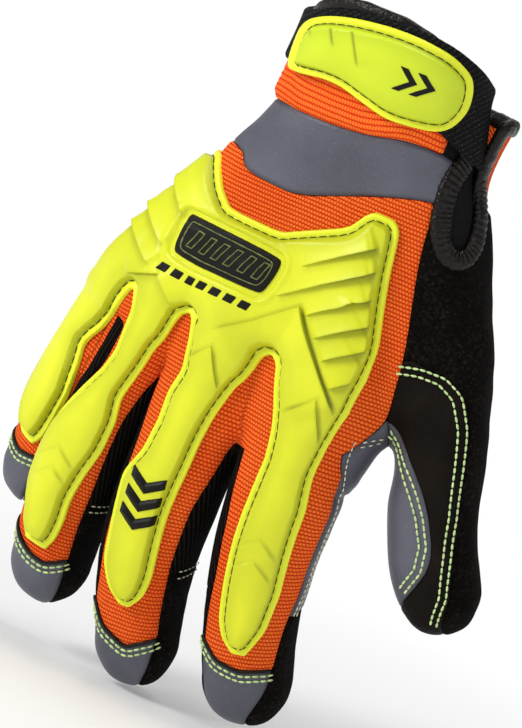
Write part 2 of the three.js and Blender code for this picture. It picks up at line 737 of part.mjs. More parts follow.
// The knit between two neighbouring fingers: down the facing side of each, and over the crotch
const WEB_SIZE = new THREE.Vector3(20, 18, 24);
function fourchetteRegion(left, right, grow) {
  const start = 0.1;
  const rows = (from, to) => [start, 0.4, FOURCHETTE_END].map((along) => ({ along, from, to }));
  const middle = digitFrame(left, 0.2).centre.lerp(digitFrame(right, 0.2).centre, 0.5);
  const size = WEB_SIZE.clone().addScalar(2 * grow);
  const web = new THREE.BoxGeometry(size.x, size.y, size.z);
  return join([
    sector(left, rows(30, 122), grow, 2),
    sector(right, rows(-122, -30), grow, 2),
    solidOf(web.translate(middle.x, middle.y + 2, middle.z)),
  ]);
}
const webs = [
  ["pinky", "ring"],
  ["ring", "middle"],
  ["middle", "index"],
];

// Cloth and leather panels
const shell = cut(layer(-WALL, 0), aboveRim(0));
const slitCut = slitRegion(GAP);
const caps = fingerNames.map((name) => [name, capRegion(name, 0), capRegion(name, GAP)]);
const backAround = join([backRegion(GAP), bandRegion(GAP), ...caps.map(([, , around]) => around)]);

addPiece("wrist_band", cut(shell.intersect(bandRegion(0)), slitCut), grey);
addPiece(
  "back_panel",
  cut(shell.intersect(backRegion(0)), bandRegion(GAP), slitCut, gatherRegion(GAP)),
  orange,
);
for (const [name, region] of caps) {
  addPiece(`fingertip_${name}`, cut(shell.intersect(region), backRegion(GAP)), grey);
}
addPiece("index_side", cut(shell.intersect(indexSideRegion(0)), backAround, thumbBackRegion(GAP)), grey);
webs.forEach(([left, right], i) => {
  const region = cut(fourchetteRegion(left, right, 0), backAround, slab(-60, REACH));
  addPiece(`fourchette_${i + 1}`, shell.intersect(region), knit);
});
addPiece("thumb_side", cut(shell.intersect(thumbSideRegion(0)), backAround), grey);
addPiece(
  "thumb_back",
  cut(shell.intersect(thumbBackRegion(0)), backAround, thumbSideRegion(GAP)),
  smoothLeather,
);

// The leather: the palm, and the palm side of each digit from its seam on
const leatherShell = cut(
  shell,
  backAround,
  gatherRegion(GAP),
  cuffPalmRegion(GAP),
  flapRegion(GAP),
  slitCut,
  indexSideRegion(GAP),
  ...webs.map(([left, right]) => fourchetteRegion(left, right, GAP)),
  thumbSideRegion(GAP),
  thumbBackRegion(GAP),
);
const digitRegion = (name, grow) => {
  const seam = name === "thumb" ? THUMB_SEAM : FINGER_SEAM;
  return digitLoft(name, GAP + grow).intersect(slab(-2 * REACH, seam + grow));
};
addPiece("palm", cut(leatherShell, ...digitNames.map((name) => digitRegion(name, GAP))), leather);
digitNames.forEach((name, i) => {
  const before = digitNames.slice(0, i).map((other) => digitRegion(other, GAP));
  addPiece(`palm_${name}`, cut(leatherShell.intersect(digitRegion(name, 0)), ...before), leather);
});

// Cuff
const belowRim = aboveRim(BINDING_HEIGHT + GAP);
const cuffLayer = (from, to) => palmLoft(to).subtract(palmLoft(from));
addPiece(
  "cuff_gather",
  cut(
    cuffLayer(-WALL, GATHER_THICKNESS).intersect(gatherRegion(0)),
    bandRegion(GAP),
    slitCut,
    belowRim,
    wedge(CUFF_END, FLAP_TO, -CUFF_LENGTH),
  ),
  orange,
);
addPiece(
  "cuff_palm",
  cut(cuffLayer(-WALL, 0).intersect(cuffPalmRegion(0)), flapRegion(0), belowRim),
  orange,
);
addPiece(
  "cuff_binding",
  cut(
    cuffLayer(-WALL - BINDING_THICKNESS / 2, BINDING_THICKNESS).intersect(aboveRim(BINDING_HEIGHT)),
    aboveRim(0),
    wedge(CUFF_END, FLAP_TO + FLAP_GAP, -CUFF_LENGTH),
  ),
  smoothLeather,
);
addPiece(
  "slit_binding",
  cut(
    layer(-WALL, BINDING_THICKNESS).intersect(cut(slitRegion(0), slitVoid)),
    wedge(FLAP_FROM - FLAP_GAP, FLAP_TO, -CUFF_LENGTH),
  ),
  smoothLeather,
);
const flapTop = FLAP_TOP - BINDING_HEIGHT;
const flapLow = -CUFF_LENGTH + GAP;
addPiece(
  "cuff_flap",
  flapWall(FLAP_FROM + FLAP_BINDING, FLAP_TO, flapLow, flapTop, -FLAP_THICKNESS, 0),
  orange,
);
addPiece(
  "flap_binding",
  join([
    flapWall(FLAP_FROM, FLAP_FROM + FLAP_BINDING - FLAP_GAP, flapLow, FLAP_TOP, -2.2, 0.8),
    flapWall(FLAP_FROM, FLAP_TO, flapTop + GAP, FLAP_TOP, -2.2, 0.8),
  ]),
  smoothLeather,
);

// Strap and its pad
const strapBase = GATHER_THICKNESS + GAP;
const padBase = strapBase + STRAP_THICKNESS + GAP;
const padPoints = onStrap(PAD_OUTLINE);
addPiece(
  "strap",
  cut(
    cuffLayer(strapBase, strapBase + STRAP_THICKNESS).intersect(
      prism(onStrap(STRAP_OUTLINE), STRAP_AZIMUTH, -6),
    ),
    wedge(FLAP_FROM - FLAP_GAP, FLAP_TO, -CUFF_LENGTH),
  ),
  webbing,
);
addPiece(
  "strap_pad",
  join([
    cuffLayer(padBase, padBase + RIM_THICKNESS).intersect(prism(padPoints, STRAP_AZIMUTH, 2)),
    cuffLayer(padBase, padBase + PAD_THICKNESS).intersect(
      prism(offset(padPoints, -RIM_WIDTH), STRAP_AZIMUTH, 2 + RIM_WIDTH),
    ),
  ]),
  lime,
);

// Guard
const guardRegion = (grow) =>
  join([
    prism(offset(onPalm(PLATE_OUTLINE), grow), 0, -4 - grow),
    ...fingerNames.map((name) => sector(name, STRIP_ROWS[name], grow, 6)),
  ]);
const groove = ({ across, along, toAcross, toAlong }) => {
  const start = new THREE.Vector2(across * PALM_BREADTH, along * PALM_LENGTH);
  const end = new THREE.Vector2(toAcross * PALM_BREADTH, toAlong * PALM_LENGTH);
  const side = end.clone().sub(start).rotateAround(new THREE.Vector2(), Math.PI / 2);
  side.setLength(GROOVE_WIDTH / 2);
  const corners = [start.clone().add(side), end.clone().add(side), end.clone().sub(side)];
  corners.push(start.clone().sub(side));
  return prism(corners.map((corner) => [corner.x, corner.y]));
};
const guardTop = GAP + GUARD_THICKNESS;
const badgePoints = onPalm(BADGE_OUTLINE);
const rim = layer(GAP, GAP + RIM_THICKNESS).intersect(guardRegion(0));
const raised = layer(GAP, guardTop).intersect(guardRegion(-RIM_WIDTH));
const grooves = layer(guardTop - GROOVE_DEPTH, guardTop + WALL).intersect(join(GROOVES.map(groove)));
const seat = layer(guardTop - BADGE_THICKNESS, guardTop + WALL).intersect(
  prism(offset(badgePoints, GAP)),
);
addPiece("guard", cut(join([rim, raised]), grooves, seat), lime);
addPiece(
  "badge",
  layer(guardTop - BADGE_THICKNESS + GAP, guardTop + BADGE_THICKNESS).intersect(prism(badgePoints)),
  rubber,
);

export default glove;
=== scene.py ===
# Impact glove for the right hand, dressed over its packed frame.
# +Z runs up the forearm, -Y out of the back of the hand, +X to the thumb side.
# The glove's form and its outlines are worked out in millimetres, and meshes are made in metres.

import functools
import math

import bpy
import numpy as np
from mathutils import Matrix, Vector
from mathutils.bvhtree import BVHTree


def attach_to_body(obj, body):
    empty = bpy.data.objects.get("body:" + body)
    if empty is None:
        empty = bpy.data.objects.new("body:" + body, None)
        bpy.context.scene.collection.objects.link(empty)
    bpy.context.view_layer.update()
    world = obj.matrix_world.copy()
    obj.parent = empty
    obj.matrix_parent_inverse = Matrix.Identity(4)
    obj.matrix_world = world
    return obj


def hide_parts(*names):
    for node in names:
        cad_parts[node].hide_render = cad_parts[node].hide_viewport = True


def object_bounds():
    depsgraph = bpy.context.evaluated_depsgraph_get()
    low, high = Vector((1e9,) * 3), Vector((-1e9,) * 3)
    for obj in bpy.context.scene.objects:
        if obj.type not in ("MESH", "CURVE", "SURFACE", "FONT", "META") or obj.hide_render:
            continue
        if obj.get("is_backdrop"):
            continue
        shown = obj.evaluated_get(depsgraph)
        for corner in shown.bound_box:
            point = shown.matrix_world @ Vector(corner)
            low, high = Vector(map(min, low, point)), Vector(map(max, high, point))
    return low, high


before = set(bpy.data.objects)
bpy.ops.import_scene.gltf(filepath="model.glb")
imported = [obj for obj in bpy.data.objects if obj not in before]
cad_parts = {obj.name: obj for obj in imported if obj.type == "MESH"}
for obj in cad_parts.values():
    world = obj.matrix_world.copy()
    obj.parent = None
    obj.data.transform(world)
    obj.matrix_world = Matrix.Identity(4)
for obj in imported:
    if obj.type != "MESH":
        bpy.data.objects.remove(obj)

bl_info = {
    "name": "Impact Glove",
    "version": (1, 0, 0),
    "blender": (4, 5, 0),
    "location": "View3D > Sidebar > Glove",
    "description": "Dresses the glove's frame in its panels, guard, cuff, strap and stitching",
    "category": "Object",
}

MM = 0.001

# Palm and wrist, in millimetres
PALM_LENGTH, PALM_BREADTH, PALM_DEPTH = 110, 106, 42
WRIST_BREADTH, WRIST_DEPTH = 63, 48
SIDE_SEAM = 8
CUFF_RISE, CUFF_LENGTH, BINDING_HEIGHT = 12.5, 30, 4.4
SLIT_AZIMUTH, SLIT_BINDING = 62, 6.2
FLAP_FROM, FLAP_TO, FLAP_TOP, FLAP_FLARE, CUFF_END = 88, 158, -3, 10.5, 63
STRAP_AZIMUTH, STRAP_BASE, PAD_BASE = 20, 1.7, 3.4
WRIST_MIDDLE = (4.4, 1.9)
FINGER_BLEND, THUMB_BLEND = 7.0, 9.0

# Each digit: length, breadth, depth; root across, deep, along as shares of the palm; twist in
# degrees; then each phalanx: share of the length, bend and turn in degrees
DIGITS = {
    "pinky": ((95, 22, 22), (-0.415, 0.22, -0.72, -26), ((0.44, 6, -14), (0.28, 12, -15), (0.28, 15, -12))),
    "ring": ((114, 24.5, 24), (-0.32, 0.09, -0.78, -12), ((0.44, 6, -10), (0.3, 13, -8), (0.26, 18, -2))),
    "middle": ((121, 25.5, 25), (-0.12, 0.02, -0.82, -2), ((0.44, 6, -3), (0.3, 14, 3), (0.26, 22, 8))),
    "index": ((119.5, 27.5, 25.5), (0.2, 0.04, -0.8, 6), ((0.43, 5, -2), (0.3, 14, 6), (0.27, 22, 12))),
    "thumb": ((126, 26, 27), (0.27, 0.3, -0.34, 10), ((0.5, 3, 23), (0.26, 8, 20), (0.24, 14, 26))),
}
FINGERS = ("pinky", "ring", "middle", "index")
# Share of the length, share of the breadth and depth
FINGER_TAPER = ((-0.14, 0.5), (0.08, 1.02), (0.14, 1.05), (0.32, 1.06), (0.5, 1.06), (0.76, 1.0), (0.87, 0.96))
THUMB_TAPER = ((-0.04, 0.95), (0.12, 1.25), (0.32, 1.33), (0.52, 1.22), (0.7, 1.02), (0.8, 0.97), (0.88, 0.93))
# Palm sections: along, tilt, across, deep, half breadth, half depth, as shares of the wrist or palm
PALM_SECTIONS = (
    (0.2, 0, 0.09, -0.14, 0.42, 0.49, "wrist"),
    (0, 0, 0.08, 0, 0.45, 0.5, "wrist"),
    (-0.2, 0, 0.106, 0.1, 0.535, 0.47, "wrist"),
    (-0.28, 0, 0.11, 0.13, 0.6, 0.47, "wrist"),
    (-0.37, 0, 0.05, 0.19, 0.4, 0.5, "palm"),
    (-0.71, 0.1, -0.03, 0.21, 0.443, 0.46, "palm"),
    (-0.86, 0.2, -0.066, 0.2, 0.462, 0.4, "palm"),
    (-0.98, 0.27, -0.09, 0.2, 0.455, 0.33, "palm"),
    (-1.04, 0.3, -0.1, 0.2, 0.42, 0.2, "palm"),
)
SQUARENESS = 2.5

# Middle of the slit's binding seen from SLIT_AZIMUTH: across and up, in millimetres
SLIT_LINE = (
    (13.2, -17.5), (10.4, -22), (9, -27), (9.6, -33), (12.2, -41), (15.5, -45.3), (19, -46), (22.3, -43.5),
    (24.2, -38.5), (24.6, -32), (23.6, -26), (22, -19), (17, -17),
)

# Outlines on the back of the hand: across and along, as shares of the palm's breadth and length
PLATE_OUTLINE = (
    (-0.9, -0.47), (-0.37, -0.402), (-0.334, -0.405), (-0.308, -0.439), (-0.271, -0.485), (-0.225, -0.522),
    (-0.187, -0.525), (-0.048, -0.527), (0.0, -0.504), (0.134, -0.442), (0.169, -0.391), (0.193, -0.373),
    (0.255, -0.375), (0.274, -0.405), (0.291, -0.526), (0.31, -0.621), (0.331, -0.713), (0.327, -0.816),
    (0.308, -0.937), (0.2, -0.965), (0.13, -0.96), (0.108, -0.911), (0.09, -0.867), (0.058, -0.844),
    (0.036, -0.848), (0.022, -0.861), (0.015, -0.895), (-0.006, -0.95), (-0.1, -0.98), (-0.168, -0.96),
    (-0.181, -0.899), (-0.199, -0.841), (-0.218, -0.832), (-0.237, -0.837), (-0.255, -0.851), (-0.265, -0.877),
    (-0.277, -0.932), (-0.34, -0.98), (-0.39, -0.955), (-0.388, -0.893), (-0.411, -0.836), (-0.431, -0.838),
    (-0.441, -0.854), (-0.458, -0.91), (-0.49, -0.987), (-0.56, -1.02), (-0.9, -1.0),
)
BACK_OUTLINE = (
    (-0.9, -0.25), (0.34, -0.25), (0.34, -0.4), (0.364, -0.53), (0.405, -0.71), (0.41, -0.875),
    (0.39, -0.93), (0.33, -1.04), (0.12, -1.11), (0.0, -1.12), (-0.1, -1.07), (-0.22, -1.06), (-0.33, -0.99),
    (-0.42, -0.93), (-0.56, -0.9), (-0.9, -0.84),
)
BAND_TOP = (
    (-0.9, -0.2), (-0.21, -0.2), (-0.12, -0.207), (0.015, -0.203), (0.11, -0.192), (0.22, -0.164), (0.36, -0.165),
)
BAND_LOW = (
    (0.36, -0.292), (0.295, -0.3), (0.105, -0.363), (-0.05, -0.42), (-0.157, -0.417), (-0.235, -0.41),
    (-0.275, -0.355), (-0.9, -0.33),
)
CUFF_TOP = ((0.36, 0.4), (-0.9, 0.4))
BADGE_OUTLINE = (
    (-0.302, -0.578), (-0.02, -0.585), (0.002, -0.6), (-0.022, -0.69), (-0.048, -0.702), (-0.305, -0.7),
    (-0.328, -0.686), (-0.318, -0.59),
)
# Outlines seen from STRAP_AZIMUTH: across and up, as shares of the wrist's breadth and depth
PAD_OUTLINE = (
    (-0.36, -0.214), (-0.34, -0.247), (-0.159, -0.188), (0.0, -0.241), (0.13, -0.286), (0.336, -0.258),
    (0.388, -0.203), (0.414, -0.089), (0.396, 0.066), (0.366, 0.151), (0.271, 0.225), (0.129, 0.255),
    (-0.01, 0.25), (-0.156, 0.22), (-0.263, 0.175), (-0.334, 0.114), (-0.363, 0.036), (-0.366, -0.11),
)
STRAP_OUTLINE = (
    (-0.7, -0.2), (-0.4, -0.21), (-0.159, -0.16), (0, -0.21), (0.13, -0.26), (0.336, -0.24), (0.44, -0.31),
    (0.54, -0.38), (0.62, -0.42), (1, -0.66), (1, -0.28), (0.64, -0.04), (0.52, 0.08), (0.42, 0.19),
    (0.29, 0.265), (0.13, 0.295), (-0.02, 0.29), (-0.16, 0.262), (-0.28, 0.215), (-0.38, 0.13), (-0.7, 0.05),
)

# Panels down a digit: share of its length, then the angles from its back between which they lie
CAP_STARTS = {
    "pinky": ((-60, 0.795), (-19, 0.809), (4, 0.814), (36, 0.792), (60, 0.785)),
    "ring": ((-60, 0.79), (-21, 0.822), (0, 0.838), (27, 0.844), (60, 0.815)),
    "middle": ((-60, 0.77), (-46, 0.78), (-29, 0.82), (10, 0.855), (30, 0.838), (60, 0.82)),
    "index": ((-60, 0.75), (-40, 0.772), (-28, 0.794), (6, 0.811), (27, 0.805), (60, 0.803)),
}
CAP_ROWS = {
    "pinky": ((0.7, -80, 44), (0.85, -76, 46), (1.2, -70, 50)),
    "ring": ((0.7, -66, 58), (0.85, -66, 58), (1.2, -66, 58)),
    "middle": ((0.7, -62, 56), (0.82, -62, 54), (0.884, -62, 46), (0.952, -62, 38), (1.2, -62, 30)),
    "index": (
        (0.7, -60, 50), (0.804, -60, 49), (0.858, -60, 42), (0.901, -60, 30), (0.961, -60, 14), (1.2, -60, 10),
    ),
}
BACK_ROWS = {
    "pinky": (
        (-0.02, -97, 56), (0.22, -84, 54), (0.34, -70, 42), (0.46, -66, 34), (0.62, -70, 38), (0.86, -80, 44),
    ),
    "ring": (
        (-0.02, -78, 75), (0.12, -40, 74), (0.16, -15, 73), (0.28, -14, 56), (0.38, -32, 50), (0.46, -47, 51),
        (0.62, -51, 56), (0.86, -61, 60),
    ),
    "middle": (
        (-0.02, -75, 78), (0.22, -62, 76), (0.34, -48, 68), (0.46, -44, 56), (0.62, -48, 53), (0.86, -58, 55),
    ),
    "index": (
        (-0.02, -71, 75), (0.22, -62, 73), (0.46, -44, 73), (0.6, -46, 73), (0.69, -50, 60), (0.8, -54, 50),
        (0.86, -56, 44),
    ),
}
STRIP_ROWS = {
    "pinky": (
        (0.06, -74, 40), (0.144, -74, 30), (0.213, -72, 28), (0.308, -70, 22), (0.376, -68, 13), (0.435, -66, 24),
        (0.489, -62, 30), (0.541, -58, 36), (0.629, -52, 37), (0.691, -38, 36), (0.735, -22, 32), (0.757, 0, 22),
    ),
    "ring": (
        (0.03, -30, 46), (0.11, -11, 44), (0.17, -10, 41), (0.22, -5, 40), (0.284, -9, 37), (0.32, -16, 35),
        (0.388, -28, 43), (0.473, -44, 44), (0.56, -48, 38), (0.635, -46, 35), (0.707, -35, 37), (0.765, -25, 34),
        (0.8, -8, 24),
    ),
    "middle": (
        (0.0, -40, 60), (0.067, -25, 56), (0.135, -17, 48), (0.2, -23, 43), (0.273, -20, 40), (0.36, -24, 39),
        (0.433, -41, 36), (0.485, -39, 34), (0.571, -37, 34), (0.649, -37, 34), (0.703, -26, 29), (0.732, -14, 20),
        (0.745, 4, 8),
    ),
    "index": (
        (0.0, -55, 46), (0.059, -50, 48), (0.1, -43, 48), (0.15, -34, 45), (0.203, -26, 43), (0.271, -20, 41),
        (0.359, -21, 46), (0.459, -24, 45), (0.589, -26, 44), (0.684, -26, 36), (0.735, -19, 24), (0.763, -2, 12),
    ),
}
FOURCHETTE_END = 0.64
INDEX_SIDE_ROWS = ((0.04, 71, 128), (0.3, 71, 120), (0.58, 72, 112), (0.66, 62, 108))
# Top of the index finger's side, across and along as shares of the palm, and its depth in millimetres
INDEX_TAB = (
    (0.32, -0.94), (0.36, -0.915), (0.41, -0.885), (0.45, -0.9), (0.445, -0.945), (0.405, -0.99), (0.38, -1.07),
    (0.363, -1.127), (0.31, -1.127),
)
INDEX_TAB_DEPTH = 13
THUMB_SIDE_ROWS = (
    (0.46, -112, -54), (0.5, -112, -40), (0.544, -112, -26), (0.6, -112, -12), (0.65, -112, -3), (0.7, -112, 3),
    (0.77, -112, 5), (0.81, -112, 0), (0.84, -112, -12), (0.88, -112, -36), (0.92, -112, -66),
)
THUMB_BACK_ROWS = (
    (0.34, -60, -15), (0.37, -80, 10), (0.4, -112, 30), (0.44, -112, 41), (0.5, -112, 44), (0.6, -112, 43),
    (0.7, -112, 40), (0.8, -112, 32), (0.9, -112, 19), (0.97, -112, 2), (1.12, -112, -20),
)
# How far the cloth stands off a digit: share of the length, then shares of the half breadth to the left
# and to the right
EASES = {
    "ring": ((0.4, 0, 0), (0.55, 0, 0.06), (0.7, 0, 0.06), (0.85, 0, 0)),
    "middle": (
        (0.05, 0, 0.1), (0.2, 0, 0.3), (0.36, 0, 0.28), (0.5, 0.08, 0.2), (0.62, 0.16, 0.08), (0.75, 0.08, 0),
        (0.85, 0, 0),
    ),
    "index": (
        (-0.1, 0, 0), (0.06, 0.08, -0.02), (0.16, 0.14, -0.1), (0.22, 0.12, -0.08), (0.28, 0.06, 0.14),
        (0.34, 0.03, 0.3), (0.45, 0, 0.2), (0.65, 0, 0.05), (0.8, 0, 0),
    ),
    "thumb": (
        (0.38, 0, 0), (0.44, -0.14, 0), (0.5, -0.32, 0), (0.56, -0.32, 0), (0.62, -0.2, 0), (0.68, -0.02, 0),
        (0.78, 0.1, 0), (0.88, 0.12, 0), (0.96, 0, 0),
    ),
}
# Digits on either side of each web, and how high its knit reaches as a share of the palm's length
WEBS = (("pinky", "ring", -0.93), ("ring", "middle", -1.05), ("middle", "index", -1.1))

# Relief of the guard, as shares of the palm's breadth and length: each step from its foot's left end to
# its right end, with its height in millimetres at each
STEPS_OF_GUARD = (
    (0.062, -0.58, 0.232, -0.46, 0.5, 1.8), (0.022, -0.682, 0.257, -0.518, 0.5, 1.9),
    (0.121, -0.703, 0.28, -0.586, 0.6, 1.9), (0.168, -0.751, 0.296, -0.652, 0.7, 1.9),
    (0.209, -0.8, 0.305, -0.719, 0.8, 1.8), (0.25, -0.865, 0.318, -0.797, 0.8, 1.6),
    (-0.43, -0.5, -0.33, -0.6, 1.7, 1.0), (-0.5, -0.6, -0.36, -0.69, 1.7, 0.9),
    (-0.54, -0.66, -0.38, -0.755, 1.6, 0.8), (-0.44, -0.81, -0.34, -0.77, 0.8, 0.8),
    (-0.34, -0.77, -0.27, -0.84, 0.8, 0.5),
)
# Creases of the strap's pad, seen from STRAP_AZIMUTH, as shares of the wrist's breadth and depth
PAD_CREASES = ((-0.31, 0.1, -0.285, 0.02), (-0.235, 0.15, -0.185, 0.02), (-0.15, 0.18, -0.06, -0.03))
# Raised chevrons: the foot of the left side, the point and the foot of the right side, and a height
CHEVRONS = (
    (-0.117, -0.84, 0.093, -0.684, 0.28, -0.919, 1.6), (-0.17, -0.95, -0.105, -0.885, -0.05, -0.99, 0.6),
    (0.165, -0.965, 0.235, -0.9, 0.275, -1.02, 0.6), (0.165, -1.36, 0.225, -1.31, 0.285, -1.36, 0.4),
    (0.165, -1.42, 0.225, -1.37, 0.285, -1.42, 0.4), (-0.51, -1.37, -0.45, -1.32, -0.39, -1.37, 0.4),
    (-0.51, -1.43, -0.45, -1.38, -0.39, -1.43, 0.4),
)

# The camera, in metres, at the photograph's viewing angle
CAMERA_PLACE, CAMERA_LENS = (0.410174, -1.126944, 0.041879), 198.9
CAMERA_RIGHT = (0.8564948924599898, 0.3578378282962111, 0.37197928414120346)
CAMERA_UP = (-0.38860541988231023, -0.02726013971335486, 0.921000929652572)


def smoothstep(x, low, high):
    t = np.clip((x - low) / (high - low), 0, 1)
    return t * t * (3 - 2 * t)


def averaged(values, width):
    """A dense table with its corners rounded over a number of entries."""
    kernel = np.hanning(width + 2)[1:-1]
    padded = np.pad(values, width // 2, mode="edge")
    return np.convolve(padded, kernel / kernel.sum(), "same")[width // 2:-(width // 2)]


def rounded(points, times=2, share=0.22):
    """An outline with its corners cut, so that it turns smoothly."""
    for _ in range(times):
        after = np.roll(points, -1, axis=0)
        points = np.stack([points + (after - points) * share, after + (points - after) * share], 1).reshape(-1, 2)
    return points


def outline_distance(points, x, y):
    """Signed distance to a closed outline, negative inside."""
    best = np.full(x.shape, 1e9)
    inside = np.zeros(x.shape, bool)
    for (ax, ay), (bx, by) in zip(points, np.roll(points, -1, axis=0)):
        ex, ey = bx - ax, by - ay
        t = np.clip(((x - ax) * ex + (y - ay) * ey) / (ex * ex + ey * ey + 1e-12), 0, 1)
        best = np.minimum(best, (x - ax - t * ex) ** 2 + (y - ay - t * ey) ** 2)
        if ay != by:
            inside ^= ((ay > y) != (by > y)) & (x < ex * (y - ay) / (by - ay) + ax)
    return np.where(inside, -np.sqrt(best), np.sqrt(best))


def blend_in(a, b, reach):
    """The union of two distance fields, filleted over a reach."""
    share = np.clip(0.5 + 0.5 * (a - b) / reach, 0, 1)
    return a * (1 - share) + b * share - reach * share * (1 - share)


class Digit:
    """A digit's centre line, its directions and its sections."""

    def __init__(self, name):
        (length, breadth, depth), (across, deep, along, twist), phalanges = DIGITS[name]
        self.name, self.length = name, length
        joint = np.array([across * PALM_BREADTH, deep * PALM_DEPTH, along * PALM_LENGTH])
        joints = [joint]
        for share, bend, turn in phalanges:
            bend, turn = math.radians(bend), math.radians(turn)
            step = (math.sin(turn) * math.cos(bend), math.sin(bend), -math.cos(turn) * math.cos(bend))
            joints.append(joints[-1] + np.array(step) * share * length)
        line = self.curve(joints)
        run = np.concatenate([[0], np.cumsum(np.linalg.norm(np.diff(line, axis=0), axis=1))])
        self.root = joint
        self.stations = np.linspace(-0.3, 1.25, 260)
        inside = np.clip(self.stations, 0, 1)
        at = inside * run[-1]
        self.centres = np.stack([np.interp(at, run, line[:, k]) for k in range(3)], 1)
        tangents = np.gradient(self.centres, axis=0)
        tangents /= np.linalg.norm(tangents, axis=1)[:, None] + 1e-12
        first, last = np.searchsorted(self.stations, 0) + 1, np.searchsorted(self.stations, 1) - 2
        tangents[:first], tangents[last:] = tangents[first], tangents[last]
        self.centres += tangents * ((self.stations - inside) * length)[:, None]
        out = np.array([0, -1.0, 0]) - tangents * -tangents[:, 1:2]
        out /= np.linalg.norm(out, axis=1)[:, None]
        angle = -math.radians(twist)
        out = out * math.cos(angle) + np.cross(tangents, out) * math.sin(angle)
        self.tangents, self.outs, self.sides = tangents, out, np.cross(out, tangents)
        taper = THUMB_TAPER if name == "thumb" else FINGER_TAPER
        size = averaged(np.interp(self.stations, [row[0] for row in taper], [row[1] for row in taper]), 11)
        self.half_breadth, self.half_depth = size * breadth / 2, size * depth / 2
        self.tip_start = taper[-1][0]
        at, *sides = zip(*EASES.get(name, ((0, 0, 0), (1, 0, 0))))
        self.ease = [averaged(np.interp(self.stations, at, side), 21) for side in sides]

    @staticmethod
    def curve(joints):
        """A centripetal spline through the joints."""
        points = [2 * joints[0] - joints[1], *joints, 2 * joints[-1] - joints[-2]]
        line = []
        for p0, p1, p2, p3 in zip(points, points[1:], points[2:], points[3:]):
            d0, d1, d2 = (max(np.linalg.norm(b - a) ** 0.5, 1e-4) for a, b in ((p0, p1), (p1, p2), (p2, p3)))
            t1 = ((p1 - p0) / d0 - (p2 - p0) / (d0 + d1) + (p2 - p1) / d1) * d1
            t2 = ((p2 - p1) / d1 - (p3 - p1) / (d1 + d2) + (p3 - p2) / d2) * d1
            t = np.linspace(0, 1, 80)[:, None]
            line.append(p1 + t1 * t + (-3 * p1 + 3 * p2 - 2 * t1 - t2) * t**2 + (2 * p1 - 2 * p2 + t1 + t2) * t**3)
        return np.concatenate(line)

    def place(self, points):
        """For each point: share of the length, angle from the back in degrees, distance from the axis, and
        signed distance from the digit's surface."""
        nearest = np.empty(len(points), int)
        square = (self.centres**2).sum(1)
        for k in range(0, len(points), 40000):
            nearest[k:k + 40000] = np.argmin(square - 2 * points[k:k + 40000] @ self.centres.T, axis=1)
        away = points - self.centres[nearest]
        along = self.stations[nearest] + (away * self.tangents[nearest]).sum(1) / self.length
        side, out = (away * self.sides[nearest]).sum(1), (away * self.outs[nearest]).sum(1)
        a = np.interp(along, self.stations, self.half_breadth)
        b = np.interp(along, self.stations, self.half_depth)
        left, right = (np.interp(along, self.stations, ease) for ease in self.ease)
        a = a * (1 + left * smoothstep(-side, 0, 8) + right * smoothstep(side, 0, 8))
        past = np.maximum(along - self.tip_start, 0)
        bulk = (np.abs(side / a) ** SQUARENESS + np.abs(out / b) ** SQUARENESS + 1e-12
                + (past / (1 - self.tip_start)) ** 2)
        reach = bulk ** (1 / SQUARENESS)
        radius = np.sqrt(side**2 + out**2 + (past * self.length) ** 2)
        surface = radius * (1 - 1 / reach)
        surface = np.maximum(surface, (-0.14 - along) * self.length)
        return along, np.degrees(np.arctan2(side, out)), np.hypot(side, out), surface

    def point(self, along, angle):
        """A point on the digit's surface."""
        centre, out, side = (np.stack([np.interp(along, self.stations, v[:, k]) for k in range(3)], -1)
                             for v in (self.centres, self.outs, self.sides))
        a = np.interp(along, self.stations, self.half_breadth)
        b = np.interp(along, self.stations, self.half_depth)
        past = np.maximum(along - self.tip_start, 0) / (1 - self.tip_start)
        shrink = np.clip(1 - past**2, 0.02, 1) ** (1 / SQUARENESS)
        angle = np.radians(angle)
        c, s = np.cos(angle), np.sin(angle)
        left, right = (np.interp(along, self.stations, ease) for ease in self.ease)
        a = a * (1 + np.where(s > 0, right, left))
        radius = shrink * (np.abs(c / b) ** SQUARENESS + np.abs(s / a) ** SQUARENESS) ** (-1 / SQUARENESS)
        return centre + out * (c * radius)[..., None] + side * (s * radius)[..., None]


@functools.cache
def digit(name):
    return Digit(name)


@functools.cache
def palm_table():
    """The palm's sections, densely: height, tilt, centre across and deep, half breadth and half depth."""
    rows = []
    for along, tilt, across, deep, breadth, depth, of in PALM_SECTIONS:
        wide, thick = (WRIST_BREADTH, WRIST_DEPTH) if of == "wrist" else (PALM_BREADTH, PALM_DEPTH)
        rows.append((along * PALM_LENGTH, tilt, across * wide, deep * thick, breadth * wide, depth * thick))
    rows = np.array(rows)[::-1]
    heights = np.linspace(-118, 30, 300)
    table = [averaged(np.interp(heights, rows[:, 0], rows[:, k]), 21) for k in range(1, 6)]
    return heights, *table


def palm_place(points):
    """Signed distance from the palm's surface."""
    heights, tilts, across, deep, breadth, depth = palm_table()
    x, y, z = points.T
    height = z.copy()
    for _ in range(3):
        height = z + np.interp(height, heights, tilts) * (x - np.interp(height, heights, across))
    side = x - np.interp(height, heights, across)
    out = y - np.interp(height, heights, deep)
    a, b = np.interp(height, heights, breadth), np.interp(height, heights, depth)
    end = np.maximum(-107 - height, 0)
    bulk = np.abs(side / a) ** SQUARENESS + np.abs(out / b) ** SQUARENESS + 1e-12 + (end / 8) ** 2
    radius = np.sqrt(side**2 + out**2 + end**2)
    return radius * (1 - bulk ** (-1 / SQUARENESS))


